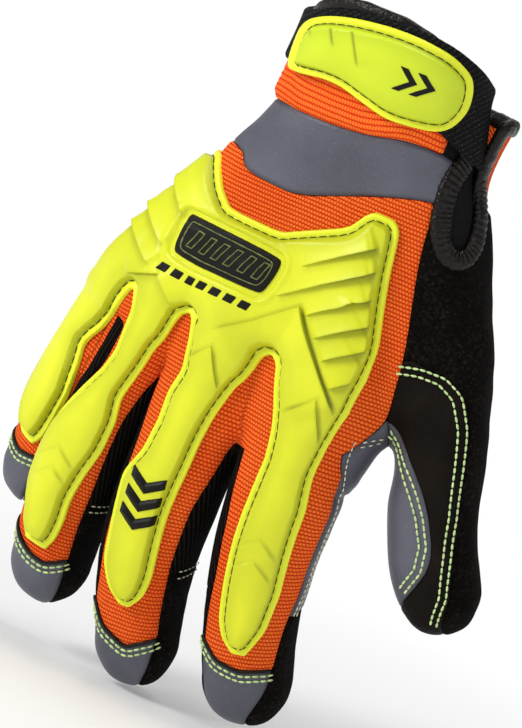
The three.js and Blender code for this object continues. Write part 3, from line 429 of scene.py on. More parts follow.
class Skin:
    """A triangle surface with named values at its points."""

    def __init__(self, points, faces, values):
        self.points, self.faces, self.values = points, faces, values

    def split(self, name, level, snap=0.07):
        """Adds points where a value crosses a level."""
        value = self.values[name] - level
        value = np.where(np.abs(value) < snap, 0, value)
        self.values[name] = value + level
        sign = np.sign(value)[self.faces]
        mixed = (sign.max(1) > 0) & (sign.min(1) < 0)
        if not mixed.any():
            return self
        faces, sign = self.faces[mixed], sign[mixed]
        has_zero = (sign == 0).any(1)
        lone = np.where(has_zero, (sign == 0).argmax(1), (sign == -np.sign(sign.sum(1))[:, None]).argmax(1))
        turned = np.stack([faces[np.arange(len(faces)), (lone + k) % 3] for k in range(3)], 1)
        a, b, c = turned.T
        edges = np.concatenate([np.stack([b, c], 1)[has_zero], np.stack([a, b], 1)[~has_zero],
                                np.stack([a, c], 1)[~has_zero]])
        unique, back = np.unique(np.sort(edges, axis=1), axis=0, return_inverse=True)
        back = back.ravel()
        p, q = unique.T
        share = value[p] / (value[p] - value[q])
        first = len(self.points)
        mix = lambda v: v[p] + (v[q] - v[p]) * (share[:, None] if v.ndim > 1 else share)
        self.points = np.concatenate([self.points, mix(self.points)])
        self.values = {k: np.concatenate([v, mix(v)]) for k, v in self.values.items()}
        self.values[name][first:] = level
        zeros, others = has_zero.sum(), (~has_zero).sum()
        m = first + back[:zeros]
        d, e = first + back[zeros:zeros + others], first + back[zeros + others:]
        az, bz, cz = turned[has_zero].T
        ao, bo, co = turned[~has_zero].T
        self.faces = np.concatenate([
            self.faces[~mixed], np.stack([az, bz, m], 1), np.stack([az, m, cz], 1),
            np.stack([ao, d, e], 1), np.stack([d, bo, co], 1), np.stack([d, co, e], 1),
        ])
        return self

    def keep(self, name, level=0.0):
        """Drops what lies above a level of a value."""
        inside = (self.values[name][self.faces] <= level + 1e-6).all(1)
        self.faces = self.faces[inside]
        used, back = np.unique(self.faces, return_inverse=True)
        self.points, self.faces = self.points[used], back.reshape(-1, 3)
        self.values = {k: v[used] for k, v in self.values.items()}
        return self

    def refine(self):
        """Cuts each triangle into four."""
        a, b, c = self.faces.T
        edges = np.sort(np.concatenate([np.stack(e, 1) for e in ((a, b), (b, c), (c, a))]), axis=1)
        unique, back = np.unique(edges, axis=0, return_inverse=True)
        ab, bc, ca = (len(self.points) + back.ravel()).reshape(3, -1)
        mix = lambda v: np.concatenate([v, (v[unique[:, 0]] + v[unique[:, 1]]) / 2])
        self.points = mix(self.points)
        self.values = {k: mix(v) for k, v in self.values.items()}
        self.faces = np.concatenate([np.stack(f, 1) for f in ((a, ab, ca), (ab, b, bc), (ca, bc, c), (ab, bc, ca))])
        return self

    def border(self):
        """Directed edges that only one triangle has."""
        a, b, c = self.faces.T
        edges = np.concatenate([np.stack(e, 1) for e in ((a, b), (b, c), (c, a))])
        keys = np.sort(edges, axis=1) @ np.array([len(self.points), 1])
        _, first, count = np.unique(keys, return_index=True, return_counts=True)
        return edges[first[count == 1]]

    def level_lines(self, name, level):
        """Chains of points along a level that split() has cut."""
        on = np.abs(self.values[name] - level) < 1e-6
        a, b, c = self.faces.T
        edges = np.concatenate([np.stack(e, 1) for e in ((a, b), (b, c), (c, a))])
        edges = np.unique(np.sort(edges[on[edges].all(1)], axis=1), axis=0)
        links = {}
        for p, q in edges.tolist():
            links.setdefault(p, []).append(q)
            links.setdefault(q, []).append(p)
        chains, seen = [], set()
        for start in sorted(links, key=lambda p: len(links[p])):
            if start in seen:
                continue
            chain, here = [start], start
            seen.add(start)
            while True:
                ahead = [p for p in links[here] if p not in seen]
                if not ahead:
                    break
                here = ahead[0]
                seen.add(here)
                chain.append(here)
            closed = len(chain) > 4 and chain[0] in links[chain[-1]]
            chains.append((np.array(chain), closed))
        return chains


def field_mesh(field, origin, step):
    """The zero surface of a grid of signed distances, as points and quads."""
    inside = field < 0
    cells = tuple(n - 1 for n in field.shape)
    corner = lambda o: tuple(slice(k, k + n) for k, n in zip(o, cells))
    offsets = [(i, j, k) for i in (0, 1) for j in (0, 1) for k in (0, 1)]
    count = sum(inside[corner(o)].astype(np.int8) for o in offsets)
    mixed = (count > 0) & (count < 8)
    index = np.full(cells, -1)
    index[mixed] = np.arange(mixed.sum())
    base = np.argwhere(mixed)
    place, hits = np.zeros((len(base), 3)), np.zeros(len(base))
    for axis in range(3):
        for o in offsets:
            if o[axis]:
                continue
            far = tuple(v + (k == axis) for k, v in enumerate(o))
            f0, f1 = field[corner(o)][mixed], field[corner(far)][mixed]
            cross = (f0 < 0) != (f1 < 0)
            t = f0[cross] / (f0[cross] - f1[cross])
            place[cross] += base[cross] + np.array(o)
            place[cross, axis] += t
            hits[cross] += 1
    points = origin + step * place / hits[:, None]
    quads = []
    for axis in range(3):
        u, v = (axis + 1) % 3, (axis + 2) % 3
        low = [slice(1, n - 1) for n in field.shape]
        low[axis] = slice(0, field.shape[axis] - 1)
        high = list(low)
        high[axis] = slice(1, field.shape[axis])
        f0, f1 = inside[tuple(low)], inside[tuple(high)]
        where = np.argwhere(f0 != f1)
        into = f0[f0 != f1]
        where[:, u] += 1
        where[:, v] += 1
        ring = []
        for du, dv in ((-1, -1), (0, -1), (0, 0), (-1, 0)):
            cell = where.copy()
            cell[:, u] += du
            cell[:, v] += dv
            ring.append(index[tuple(cell.T)])
        ring = np.stack(ring, 1)
        quads.append(np.where(into[:, None], ring, ring[:, ::-1]))
    return points, np.concatenate(quads)


def sampler(field, origin, step):
    """A function that reads a grid between its points."""
    limit = np.array(field.shape) - 1.001

    def read(points):
        at = np.clip((points - origin) / step, 0, limit)
        low = at.astype(int)
        share = at - low
        total = 0
        for o in ((i, j, k) for i in (0, 1) for j in (0, 1) for k in (0, 1)):
            weight = np.prod([share[:, k] if o[k] else 1 - share[:, k] for k in range(3)], axis=0)
            total = total + weight * field[tuple((low + np.array(o)).T)]
        return total

    return read


def waves(points, size, seed, count=14):
    """A smooth random height from -1 to 1, with features of about a size in millimetres."""
    rng = np.random.default_rng(seed)
    total = 0
    for _ in range(count):
        way = rng.normal(size=3)
        way *= 2 * math.pi / (size * rng.uniform(0.7, 1.6)) / np.linalg.norm(way)
        total = total + np.sin(points @ way + rng.uniform(0, 6.28))
    return total / math.sqrt(count) / 1.4


@functools.cache
def glove_skin():
    """The filled glove's whole surface, with each point's place on the palm and on each digit."""
    step = 1.0
    low, high = np.array([-84.0, -38, -216]), np.array([94.0, 44, 26])
    axes = [np.arange(a, b, step) for a, b in zip(low, high)]
    shape = tuple(len(a) for a in axes)

    def over(corner_low, corner_high, distance):
        """A distance worked out on a box of the grid, made true to length by its own slope."""
        cut = tuple(slice(max(int((a - o) / step), 0), min(int((b - o) / step), n))
                    for a, b, o, n in zip(corner_low, corner_high, low, shape))
        grid = np.stack(np.meshgrid(*(a[c] for a, c in zip(axes, cut)), indexing="ij"), -1)
        value = distance(grid.reshape(-1, 3)).reshape(grid.shape[:3])
        slope = np.sqrt(sum(g**2 for g in np.gradient(value, step)))
        return cut, value / np.clip(slope, 0.35, 3)

    far = 60.0
    fingers = np.full(shape, far)
    for name in FINGERS:
        line = digit(name).centres
        cut, value = over(line.min(0) - 20, line.max(0) + 20, lambda p: digit(name).place(p)[3])
        fingers[cut] = blend_in(fingers[cut], value, 1.2)
    palm = np.full(shape, far)
    cut, value = over(np.array([-70, -40, -124]), np.array([70, 44, 30]), palm_place)
    palm[cut] = value
    thumb = palm.copy()
    line = digit("thumb").centres
    cut, value = over(line.min(0) - 24, line.max(0) + 24, lambda p: digit("thumb").place(p)[3])
    thumb[cut] = blend_in(palm[cut], value, THUMB_BLEND)
    left, right = (digit(n).centres[np.searchsorted(digit(n).stations, 0.2)] for n in ("middle", "index"))
    middle, half = (left + right) / 2 + [0, 3, 4], np.array([9, 9, 17])
    web = lambda p: (np.linalg.norm((p - middle) / half, axis=1) - 1) * half[0]
    cut, value = over(middle - 30, middle + 30, web)
    fingers[cut] = blend_in(fingers[cut], value, 5.0)
    hand = blend_in(palm, fingers, FINGER_BLEND)
    reach = 1.5 + 10.5 * smoothstep(axes[2], -104, -92)
    close = np.clip(1 - np.abs(hand - thumb) / reach, 0, 1)
    both = smoothstep(palm - hand, 0, 2.5) * smoothstep(palm - thumb, 0, 2.5)
    field = np.minimum(hand, thumb) - 0.3 - reach / 4 * close**2 * both
    points, quads = field_mesh(field, low, step)
    read = sampler(field, low, step)
    slopes = [sampler(g, low, step) for g in np.gradient(field, step)]
    for _ in range(2):
        normal = np.stack([s(points) for s in slopes], 1)
        points = points - normal * (read(points) / np.maximum((normal**2).sum(1), 0.2))[:, None]
    for _ in range(2):
        normal = np.stack([s(points) for s in slopes], 1)
        normal /= np.linalg.norm(normal, axis=1)[:, None]
    a, b, c, d = quads.T
    faces = np.concatenate([np.stack([a, b, c], 1), np.stack([a, c, d], 1)])
    return points, faces, normal


@functools.cache
def glove_tree():
    points, faces, _ = glove_skin()
    return BVHTree.FromPolygons(points.tolist(), faces.tolist())


@functools.cache
def places():
    """Each skin point's place on each digit."""
    points = glove_skin()[0]
    return {name: digit(name).place(points) for name in DIGITS}


def on_palm(rows):
    return rounded(np.array(rows) * [PALM_BREADTH, PALM_LENGTH])


def on_strap(rows):
    return rounded(np.array(rows) * [WRIST_BREADTH, WRIST_DEPTH])


def seen_from(azimuth, points):
    """Across, up and towards the eye, for points seen from an azimuth."""
    turn = math.radians(azimuth)
    towards = np.array([math.sin(turn), -math.cos(turn), 0])
    across = np.array([math.cos(turn), math.sin(turn), 0])
    return points @ across, points[:, 2], points @ towards


def sector(name, rows, over=2.0, start=True):
    """Signed distance from a panel that runs down a digit."""
    along, angle, radius, surface = places()[name]
    stations = np.linspace(-0.3, 1.25, 320)
    table = [averaged(np.interp(stations, [r[0] for r in rows], [r[k] for r in rows]), 13) for k in (1, 2)]
    low, high = (np.interp(along, stations, t) for t in table)
    length = digit(name).length
    reach = np.radians(1) * np.minimum(radius, 16)
    return np.maximum.reduce([(low - angle) * reach, (angle - high) * reach,
                              (rows[0][0] - along) * length if start else -np.ones(len(along)) * 50,
                              (along - rows[-1][0]) * length, surface - over])


def rim_height(y):
    return CUFF_RISE * np.clip(-y / (WRIST_DEPTH / 2), 0, 1.25) ** 1.15


def cap_distance(name):
    """Signed distance from a fingertip's cap, whose upper edge is a curve."""
    along, angle = places()[name][:2]
    start = np.interp(angle, *zip(*CAP_STARTS[name]))
    return np.maximum(sector(name, CAP_ROWS[name], 4), (start - along) * digit(name).length)


def back_distance(name):
    along, angle = places()[name][:2]
    start = np.interp(angle, *zip(*CAP_STARTS[name]))
    return np.maximum(sector(name, BACK_ROWS[name], 2.5), (along - start) * digit(name).length)


@functools.cache
def regions():
    """Signed distance of every skin point from each panel, negative inside."""
    points, _, _ = glove_skin()
    x, y, z = points.T
    side = y - SIDE_SEAM
    band = np.maximum(outline_distance(on_palm(BAND_TOP + BAND_LOW), x, z), side)
    gather = np.maximum(outline_distance(on_palm(BAND_TOP + CUFF_TOP), x, z), side)
    across, up, towards = seen_from(SLIT_AZIMUTH, points)
    slit = np.maximum(outline_distance(rounded(np.array(SLIT_LINE, float)), across, up), -towards)
    middle = np.array([0.07 * WRIST_BREADTH, 0.04 * WRIST_DEPTH])
    azimuth = np.degrees(np.arctan2(x - middle[0], middle[1] - y))
    ring = np.radians(1) * np.hypot(x - middle[0], y - middle[1])
    wedge = lambda low, high, floor: np.maximum.reduce(
        [(low - azimuth) * ring, (azimuth - high) * ring, floor - z])
    flap = wedge(CUFF_END, FLAP_TO + 0.7, -CUFF_LENGTH)
    below_rim = z - (rim_height(y) - 1.5)
    back = np.maximum(outline_distance(on_palm(BACK_OUTLINE), x, z), side)
    back = np.minimum.reduce([back] + [back_distance(name) for name in FINGERS])
    caps = {name: cap_distance(name) for name in FINGERS}
    covered = lambda panel, *others: np.maximum.reduce([panel] + [-other for other in others])
    result = {"wrist_band": covered(band, slit), "back_panel": covered(back, band, gather, slit)}
    around = [back, band, *caps.values()]
    for name in FINGERS:
        result[f"fingertip_{name}"] = covered(caps[name], back)
    thumb_side = sector("thumb", THUMB_SIDE_ROWS, 3)
    thumb_back = sector("thumb", THUMB_BACK_ROWS, 3)
    tab = np.maximum(outline_distance(on_palm(INDEX_TAB), x, z), y - INDEX_TAB_DEPTH)
    index_side = np.minimum(sector("index", INDEX_SIDE_ROWS, 6), tab)
    result["index_side"] = covered(index_side, *around, thumb_back, thumb_side)
    webs = []
    for number, (left, right, top) in enumerate(WEBS, 1):
        near = [digit(n).centres[np.searchsorted(digit(n).stations, 0.2)] for n in (left, right)]
        centre = (near[0] + near[1]) / 2 + [0, 2, 0]
        box = np.abs(points - centre) - [10, 9, 12]
        web = np.minimum.reduce([
            sector(left, [(0.1, 30, 122), (0.4, 30, 122), (FOURCHETTE_END, 30, 122)], 2),
            sector(right, [(0.1, -122, -8), (0.4, -122, -30), (FOURCHETTE_END, -122, -30)], 2), box.max(1)])
        webs.append(web)
        result[f"fourchette_{number}"] = covered(np.maximum(web, z - top * PALM_LENGTH), *around, *webs[:-1])
    result["thumb_side"] = covered(thumb_side, *around)
    result["thumb_back"] = covered(thumb_back, *around, thumb_side)
    cuff_palm = np.maximum(-side, -CUFF_LENGTH - z)
    result["palm"] = covered(np.maximum(-50, below_rim), *around, gather, cuff_palm, flap, slit,
                             index_side, thumb_side, thumb_back, *webs)
    result["cuff_gather"] = covered(np.maximum(gather, below_rim), band, slit,
                                    wedge(CUFF_END, FLAP_TO, -CUFF_LENGTH))
    result["cuff_palm"] = covered(np.maximum(cuff_palm, below_rim), flap)
    strips = [sector(name, STRIP_ROWS[name], 7) for name in FINGERS]
    plate = rounded(np.array(PLATE_OUTLINE) * [PALM_BREADTH, PALM_LENGTH], 2, 0.16)
    guard = np.maximum(outline_distance(plate, x, z), y - 6.5)
    for strip in strips:
        guard = blend_in(guard, strip, 2.0)
    result["guard"] = guard
    across, up, towards = seen_from(STRAP_AZIMUTH, points)
    result["strap"] = covered(np.maximum(outline_distance(on_strap(STRAP_OUTLINE), across, up), -6 - towards),
                              wedge(FLAP_FROM - 0.7, FLAP_TO, -CUFF_LENGTH))
    result["strap_pad"] = np.maximum(outline_distance(on_strap(PAD_OUTLINE), across, up), 2 - towards)
    return result


@functools.cache
def weave():
    """Each skin point's place in the cloth: across and along the hand, turning to follow each digit."""
    points, _, _ = glove_skin()
    x, z = points[:, 0], points[:, 2]
    across, along = x.copy(), z.copy()
    nearest = np.argmin(np.stack([places()[name][3] for name in FINGERS]), axis=0)
    for number, name in enumerate(FINGERS):
        place, angle, radius, surface = places()[name]
        share = smoothstep(place, 0.08, 0.3) * (nearest == number)
        half = DIGITS[name][0][1] / 2
        root = digit(name).root
        across += share * (root[0] + np.radians(angle) * half - across)
        along += share * (root[2] - place * digit(name).length - along)
    return across, along


def skin_part(distance, reach=3.0):
    """The skin around a region, with its distance from the region's edge."""
    points, faces, normal = glove_skin()
    across, along = weave()
    values = {"edge": np.array(distance, float), "normal": normal, "across": across, "along": along,
              "guard": regions()["guard"]}
    return Skin(points, faces, values).keep("edge", reach)


def mesh_object(name, points, faces, materials, slots=None, values=None, sharp=38):
    """A mesh object from points in millimetres and triangles or quads."""
    mesh = bpy.data.meshes.new(name)
    sides = faces.shape[1]
    mesh.vertices.add(len(points))
    mesh.vertices.foreach_set("co", (points * MM).astype(np.float32).ravel())
    mesh.loops.add(faces.size)
    mesh.loops.foreach_set("vertex_index", faces.astype(np.int32).ravel())
    mesh.polygons.add(len(faces))
    mesh.polygons.foreach_set("loop_start", np.arange(0, faces.size, sides, dtype=np.int32))
    for material in materials:
        mesh.materials.append(material)
    if slots is not None:
        mesh.polygons.foreach_set("material_index", slots.astype(np.int32))
    mesh.update(calc_edges=True)
    mesh.validate()
    for key, value in (values or {}).items():
        mesh.attributes.new(key, "FLOAT", "POINT").data.foreach_set("value", value.astype(np.float32))
    mesh.polygons.foreach_set("use_smooth", np.ones(len(mesh.polygons), bool))
    mesh.set_sharp_from_angle(angle=math.radians(sharp))
    thing = bpy.data.objects.new(name, mesh)
    bpy.context.scene.collection.objects.link(thing)
    return thing


def wall_object(name, skin, top, low, materials):
    """A closed wall over a part of the skin, from one height above it to another. Its inside takes the
    second material."""
    normal = skin.values["normal"]
    count = len(skin.points)
    outer = skin.points + normal * np.broadcast_to(top, count)[:, None]
    inner = skin.points + normal * np.broadcast_to(low, count)[:, None]
    a, b = skin.border().T
    faces = np.concatenate([
        skin.faces, skin.faces[:, ::-1] + count,
        np.stack([b, a, a + count], 1), np.stack([b, a + count, b + count], 1),
    ])
    slots = np.zeros(len(faces))
    if len(materials) > 1:
        slots[len(skin.faces):2 * len(skin.faces)] = 1
    values = {k: np.tile(v, 2) for k, v in skin.values.items() if k in ("across", "along", "edge", "shade")}
    return mesh_object(name, np.concatenate([outer, inner]), faces, materials, slots, values)


def attach(thing, slot, *nodes):
    """The piece rides on the frame, takes its slot and stands for its nodes."""
    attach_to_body(thing, "root")
    if nodes:
        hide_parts(*nodes)
    return thing


def panel(name, slot, materials, nodes, wall, rise=0.0, seam=0.38, extra=None):
    """A sewn panel: its edges turn down into its seams."""
    skin = skin_part(regions()[name])
    for level in (-0.1, -0.45, -0.9, -1.5):
        skin.split("edge", level)
    skin.keep("edge", -0.1)
    depth = -skin.values["edge"]
    top = rise - seam * (1 - smoothstep(depth, 0.0, 1.5)) ** 2
    if extra is not None:
        top = top + extra(skin, depth)
    thing = wall_object(name, skin, top, -wall, materials)
    return attach(thing, slot, *nodes)


def project(points, lift=0.0):
    """The points moved on to the skin, with its outward direction at each."""
    tree = glove_tree()
    placed, ways = [], []
    for p in points:
        where, way, _, _ = tree.find_nearest(Vector(p))
        placed.append(where)
        ways.append(way)
    placed, ways = np.array(placed), np.array(ways)
    ways = np.stack([np.convolve(np.pad(ways[:, k], 2, mode="edge"), np.ones(5) / 5, "valid") for k in range(3)], 1)
    ways /= np.linalg.norm(ways, axis=1)[:, None]
    return placed + ways * lift, ways


def even(points, step, closed=False):
    """A path's points spread evenly, about a step apart."""
    if closed:
        points = np.concatenate([points, points[:1]])
    run = np.concatenate([[0], np.cumsum(np.linalg.norm(np.diff(points, axis=0), axis=1))])
    count = max(int(round(run[-1] / step)), 2)
    at = np.linspace(0, run[-1], count + 1)
    if closed:
        at = at[:-1]
    return np.stack([np.interp(at, run, points[:, k]) for k in range(points.shape[1])], 1)


def sweep(path, ways, section, closed=False):
    """A section, in side and out distances at each point of the path, swept along it as quads."""
    count = len(path)
    if closed:
        tangent = np.roll(path, -1, axis=0) - np.roll(path, 1, axis=0)
    else:
        tangent = np.gradient(path, axis=0)
    tangent /= np.linalg.norm(tangent, axis=1)[:, None] + 1e-9
    side = np.cross(tangent, ways)
    side /= np.linalg.norm(side, axis=1)[:, None] + 1e-9
    out = np.cross(side, tangent)
    section = np.broadcast_to(section, (count, *section.shape[-2:]))
    rings = path[:, None] + side[:, None] * section[..., :1] + out[:, None] * section[..., 1:]
    sides = section.shape[1]
    rows = np.arange(count if closed else count - 1)
    ahead = (rows + 1) % count
    i, j = np.meshgrid(rows, np.arange(sides), indexing="ij")
    k = (j + 1) % sides
    n = np.broadcast_to(ahead[:, None], i.shape)
    faces = np.stack([i * sides + j, i * sides + k, n * sides + k, n * sides + j], -1).reshape(-1, 4)
    points = rings.reshape(-1, 3)
    if not closed:
        ends = []
        for row, turn in ((0, 1), (count - 1, -1)):
            points = np.concatenate([points, rings[row].mean(0)[None]])
            hub = len(points) - 1
            ring = row * sides + np.arange(sides)
            fan = np.stack([ring, np.full(sides, hub), np.full(sides, hub), np.roll(ring, -1)], 1)
            ends.append(fan if turn > 0 else fan[:, ::-1])
        faces = np.concatenate([faces, *ends])
    return points, faces


def triangles(faces):
    """Quads as triangles, without those that have no area."""
    a, b, c, d = faces.T
    pairs = np.concatenate([np.stack([a, b, c], 1), np.stack([a, c, d], 1)])
    good = (pairs[:, 0] != pairs[:, 1]) & (pairs[:, 1] != pairs[:, 2]) & (pairs[:, 0] != pairs[:, 2])
    return pairs[good]


def oval(width, height, sides=12, drop=0.0, power=2.4):
    """A rounded section: width across, height out."""
    turn = np.linspace(0, 2 * math.pi, sides, endpoint=False)
    c, s = np.cos(turn), np.sin(turn)
    return np.stack([np.sign(c) * np.abs(c) ** (2 / power) * width / 2,
                     np.sign(s) * np.abs(s) ** (2 / power) * height / 2 + drop], 1)


# Materials


class Finish:
    """A material's nodes, built one by one."""

    def __init__(self, name, colour, roughness, specular=0.3, sheen=0.0, metallic=0.0):
        self.material = bpy.data.materials.new(name)
        self.material.use_nodes = True
        self.nodes, self.links = self.material.node_tree.nodes, self.material.node_tree.links
        self.shader = self.nodes["Principled BSDF"]
        self.shader.inputs["Base Color"].default_value = (*colour, 1)
        self.shader.inputs["Roughness"].default_value = roughness
        self.shader.inputs["Specular IOR Level"].default_value = specular
        self.shader.inputs["Sheen Weight"].default_value = sheen
        self.shader.inputs["Metallic"].default_value = metallic

    def add(self, kind, values=(), **settings):
        node = self.nodes.new(kind)
        for key, value in settings.items():
            setattr(node, key, value)
        for socket, value in dict(values).items():
            if isinstance(value, bpy.types.NodeSocket):
                self.links.new(value, node.inputs[socket])
            else:
                node.inputs[socket].default_value = value
        return node

    def math(self, operation, a, b=0.0, c=0.0):
        return self.add("ShaderNodeMath", {0: a, 1: b, 2: c}, operation=operation).outputs[0]

    def value(self, name):
        return self.add("ShaderNodeAttribute", attribute_name=name).outputs["Fac"]

    def place(self):
        return self.add("ShaderNodeTexCoord").outputs["Object"]

    def noise(self, scale, detail=3.0, roughness=0.55, vector=None):
        values = {"Scale": scale, "Detail": detail, "Roughness": roughness, "Vector": vector or self.place()}
        return self.add("ShaderNodeTexNoise", values).outputs["Fac"]

    def spread(self, value, low, high, out_low=0.0, out_high=1.0):
        return self.add("ShaderNodeMapRange", {0: value, 1: low, 2: high, 3: out_low, 4: out_high}).outputs[0]

    def ramp(self, value, *stops):
        node = self.add("ShaderNodeValToRGB", {"Fac": value})
        while len(node.color_ramp.elements) < len(stops):
            node.color_ramp.elements.new(0.5)
        for element, (position, colour) in zip(node.color_ramp.elements, stops):
            element.position = position
            element.color = (*colour, 1)
        return node.outputs["Color"]

    def mix(self, share, a, b, blend="MIX"):
        values = {0: share, 6: a if isinstance(a, bpy.types.NodeSocket) else (*a, 1),
                  7: b if isinstance(b, bpy.types.NodeSocket) else (*b, 1)}
        return self.add("ShaderNodeMix", values, data_type="RGBA", blend_type=blend).outputs[2]

    def colour(self, socket):
        self.links.new(socket, self.shader.inputs["Base Color"])

    def rough(self, socket):
        self.links.new(socket, self.shader.inputs["Roughness"])

    def bump(self, height, distance, strength=1.0):
        """Distance in millimetres for a height of 1."""
        node = self.add("ShaderNodeBump", {"Height": height, "Distance": distance * MM, "Strength": strength})
        before = self.shader.inputs["Normal"].links
        if before:
            self.links.new(before[0].from_socket, node.inputs["Normal"])
        self.links.new(node.outputs[0], self.shader.inputs["Normal"])


def shade(colour, factor):
    return tuple(min(c * factor, 1) for c in colour)


def lime_rubber(colours):
    base, rim = tuple(colours.lime), tuple(colours.rim)
    f = Finish("lime_rubber", base, 0.45, 0.3)
    edge = f.value("edge")
    broad = f.noise(26.0, 3.0)
    # painted shade and highlight: the colour darkens where the broad bump sinks and lightens where it rises
    body = f.mix(f.spread(broad, 0.3, 0.7), shade(base, 0.82), (base[0] * 1.08, base[1] * 1.03, base[2]))
    # painted shade: the raised body darkens towards its rim
    body = f.mix(f.spread(edge, -7.5, -2.6, 0.0, 0.9), body, shade(base, 0.74))
    high = f.add("ShaderNodeSeparateXYZ", {0: f.place()}).outputs["Z"]
    body = f.mix(f.spread(high, -0.06, 0.0, 0.0, 0.4), body, (base[0] * 0.6, base[1] * 0.88, base[2]))
    tone = f.mix(f.spread(edge, -2.45, -2.1), body, rim)
    # painted shade: a dark olive line in the groove between rim and body, and where the shade value marks the feet of
    # steps, chevrons and pad creases
    groove = f.math("MULTIPLY", f.spread(edge, -2.9, -2.35), f.spread(edge, -2.0, -2.3))
    dark = f.math("MAXIMUM", f.math("MULTIPLY", groove, 0.45), f.math("MULTIPLY", f.value("shade"), 0.9))
    f.colour(f.mix(dark, tone, (0.13, 0.15, 0.006)))
    f.rough(f.spread(f.noise(60.0, 4.0), 0.3, 0.7, 0.34, 0.5))
    f.bump(f.noise(900.0, 3.0), 0.03)
    f.bump(broad, 0.6)
    return f.material


def ribbed_knit(name, colour, dark, light, pitch=1.25, dot=1.0, depth=0.5):
    """Rows of small dots that follow the cloth."""
    f = Finish(name, tuple(colour), 0.9, 0.08)
    across, along = f.value("across"), f.value("along")
    drift = f.math("MULTIPLY", f.noise(60.0, 2.0), 0.9)
    row = f.math("ADD", f.math("DIVIDE", along, pitch), drift)
    odd = f.math("MULTIPLY", f.math("FLOOR", f.math("MODULO", f.math("ABSOLUTE", row), 2.0)), 0.5)
    column = f.math("ADD", f.math("DIVIDE", across, dot), odd)

    def hump(value):
        centred = f.math("SUBTRACT", f.math("MULTIPLY", f.math("FRACT", value), 2.0), 1.0)
        return f.math("SUBTRACT", 1.0, f.math("MULTIPLY", centred, centred))

    height = f.math("MULTIPLY", hump(row), f.math("MULTIPLY_ADD", hump(column), 0.75, 0.25))
    fibre = f.noise(2600.0, 2.0)
    tone = f.math("ADD", height, f.math("MULTIPLY", f.math("SUBTRACT", fibre, 0.5), 0.3))
    broad = f.noise(32.0, 2.0)
    # painted shade between the dots and painted highlight on their crowns: the colour follows the dots' height
    colour_now = f.ramp(tone, (0.05, tuple(dark)), (0.42, tuple(colour)), (0.9, tuple(light)))
    f.colour(f.mix(f.spread(broad, 0.4, 0.75, 0.0, 0.5), colour_now, (0.85, 0.45, 0.35), "MULTIPLY"))
    f.bump(height, depth)
    return f.material


def suede(colours):
    base = tuple(colours.leather)
    f = Finish("palm_suede", base, 0.95, 0.07)
    nap = f.noise(900.0, 5.0, 0.75)
    patch = f.noise(90.0, 5.0, 0.65)
    dark = f.ramp(nap, (0.36, shade(base, 0.25)), (0.52, base), (0.66, shade(base, 5.0)))
    f.colour(f.mix(f.spread(patch, 0.35, 0.65, 0.0, 0.8), dark, shade(base, 0.35)))
    f.bump(nap, 0.5)
    f.bump(patch, 0.7)
    return f.material


def smooth_leather(colours, name="smooth_leather", gloss=0.07, low=0.46):
    base = tuple(colours.smooth)
    f = Finish(name, base, 0.5, gloss)
    grain = f.noise(1100.0, 5.0, 0.6)
    cells = f.add("ShaderNodeTexVoronoi", {"Scale": 520.0, "Vector": f.place()}, feature="DISTANCE_TO_EDGE")
    crease = f.noise(55.0, 6.0, 0.65)
    # painted shade in the creases' hollows and painted highlight on their ridges: the colour follows the crease bump
    f.colour(f.ramp(crease, (0.3, shade(base, 0.5)), (0.55, base), (0.78, shade(base, 1.9))))
    f.rough(f.spread(grain, 0.3, 0.7, low, low + 0.2))
    f.bump(f.spread(cells.outputs["Distance"], 0.0, 0.25), 0.08)
    f.bump(crease, 1.3)
    f.bump(grain, 0.06)
    return f.material


def satin_cloth(colours):
    base = tuple(colours.grey)
    f = Finish("grey_cloth", base, 0.5, 0.5, 0.0, 0.25)
    fine = f.noise(3200.0, 2.0, 0.6)
    broad = f.noise(30.0, 3.0)
    tone = f.mix(f.spread(broad, 0.3, 0.7), shade(base, 0.72), shade(base, 1.2))
    # painted shade where the panel's edge turns down into its seam
    tone = f.mix(f.spread(f.value("edge"), -1.6, -0.2, 0.0, 0.6), tone, shade(base, 0.3))
    # painted glints: fine bright specks over the cloth
    f.colour(f.mix(f.spread(fine, 0.62, 0.72, 0.0, 0.5), tone, shade(base, 3.2)))
    f.rough(f.spread(fine, 0.3, 0.7, 0.4, 0.62))
    f.bump(fine, 0.05)
    f.bump(f.noise(160.0, 4.0), 0.25)
    return f.material


def black_knit(colours):
    base = tuple(colours.knit)
    f = Finish("black_knit", base, 0.95, 0.05)
    across, along = f.value("across"), f.value("along")
    slant = f.math("ADD", f.math("DIVIDE", across, 1.3), f.math("DIVIDE", along, 5.0))
    rib = f.math("SINE", f.math("MULTIPLY", slant, 6.283))
    tick = f.math("SINE", f.math("MULTIPLY", f.math("DIVIDE", along, 0.9), 6.283))
    height = f.math("ADD", f.math("MULTIPLY", rib, 0.35), f.math("MULTIPLY_ADD", tick, 0.12, 0.5))
    # painted shade in the ribs' hollows and painted highlight on their crowns
    f.colour(f.ramp(height, (0.15, shade(base, 0.35)), (0.55, base), (0.95, shade(base, 3.4))))
    f.bump(height, 0.35)
    f.bump(f.noise(2400.0, 2.0), 0.06)
    return f.material


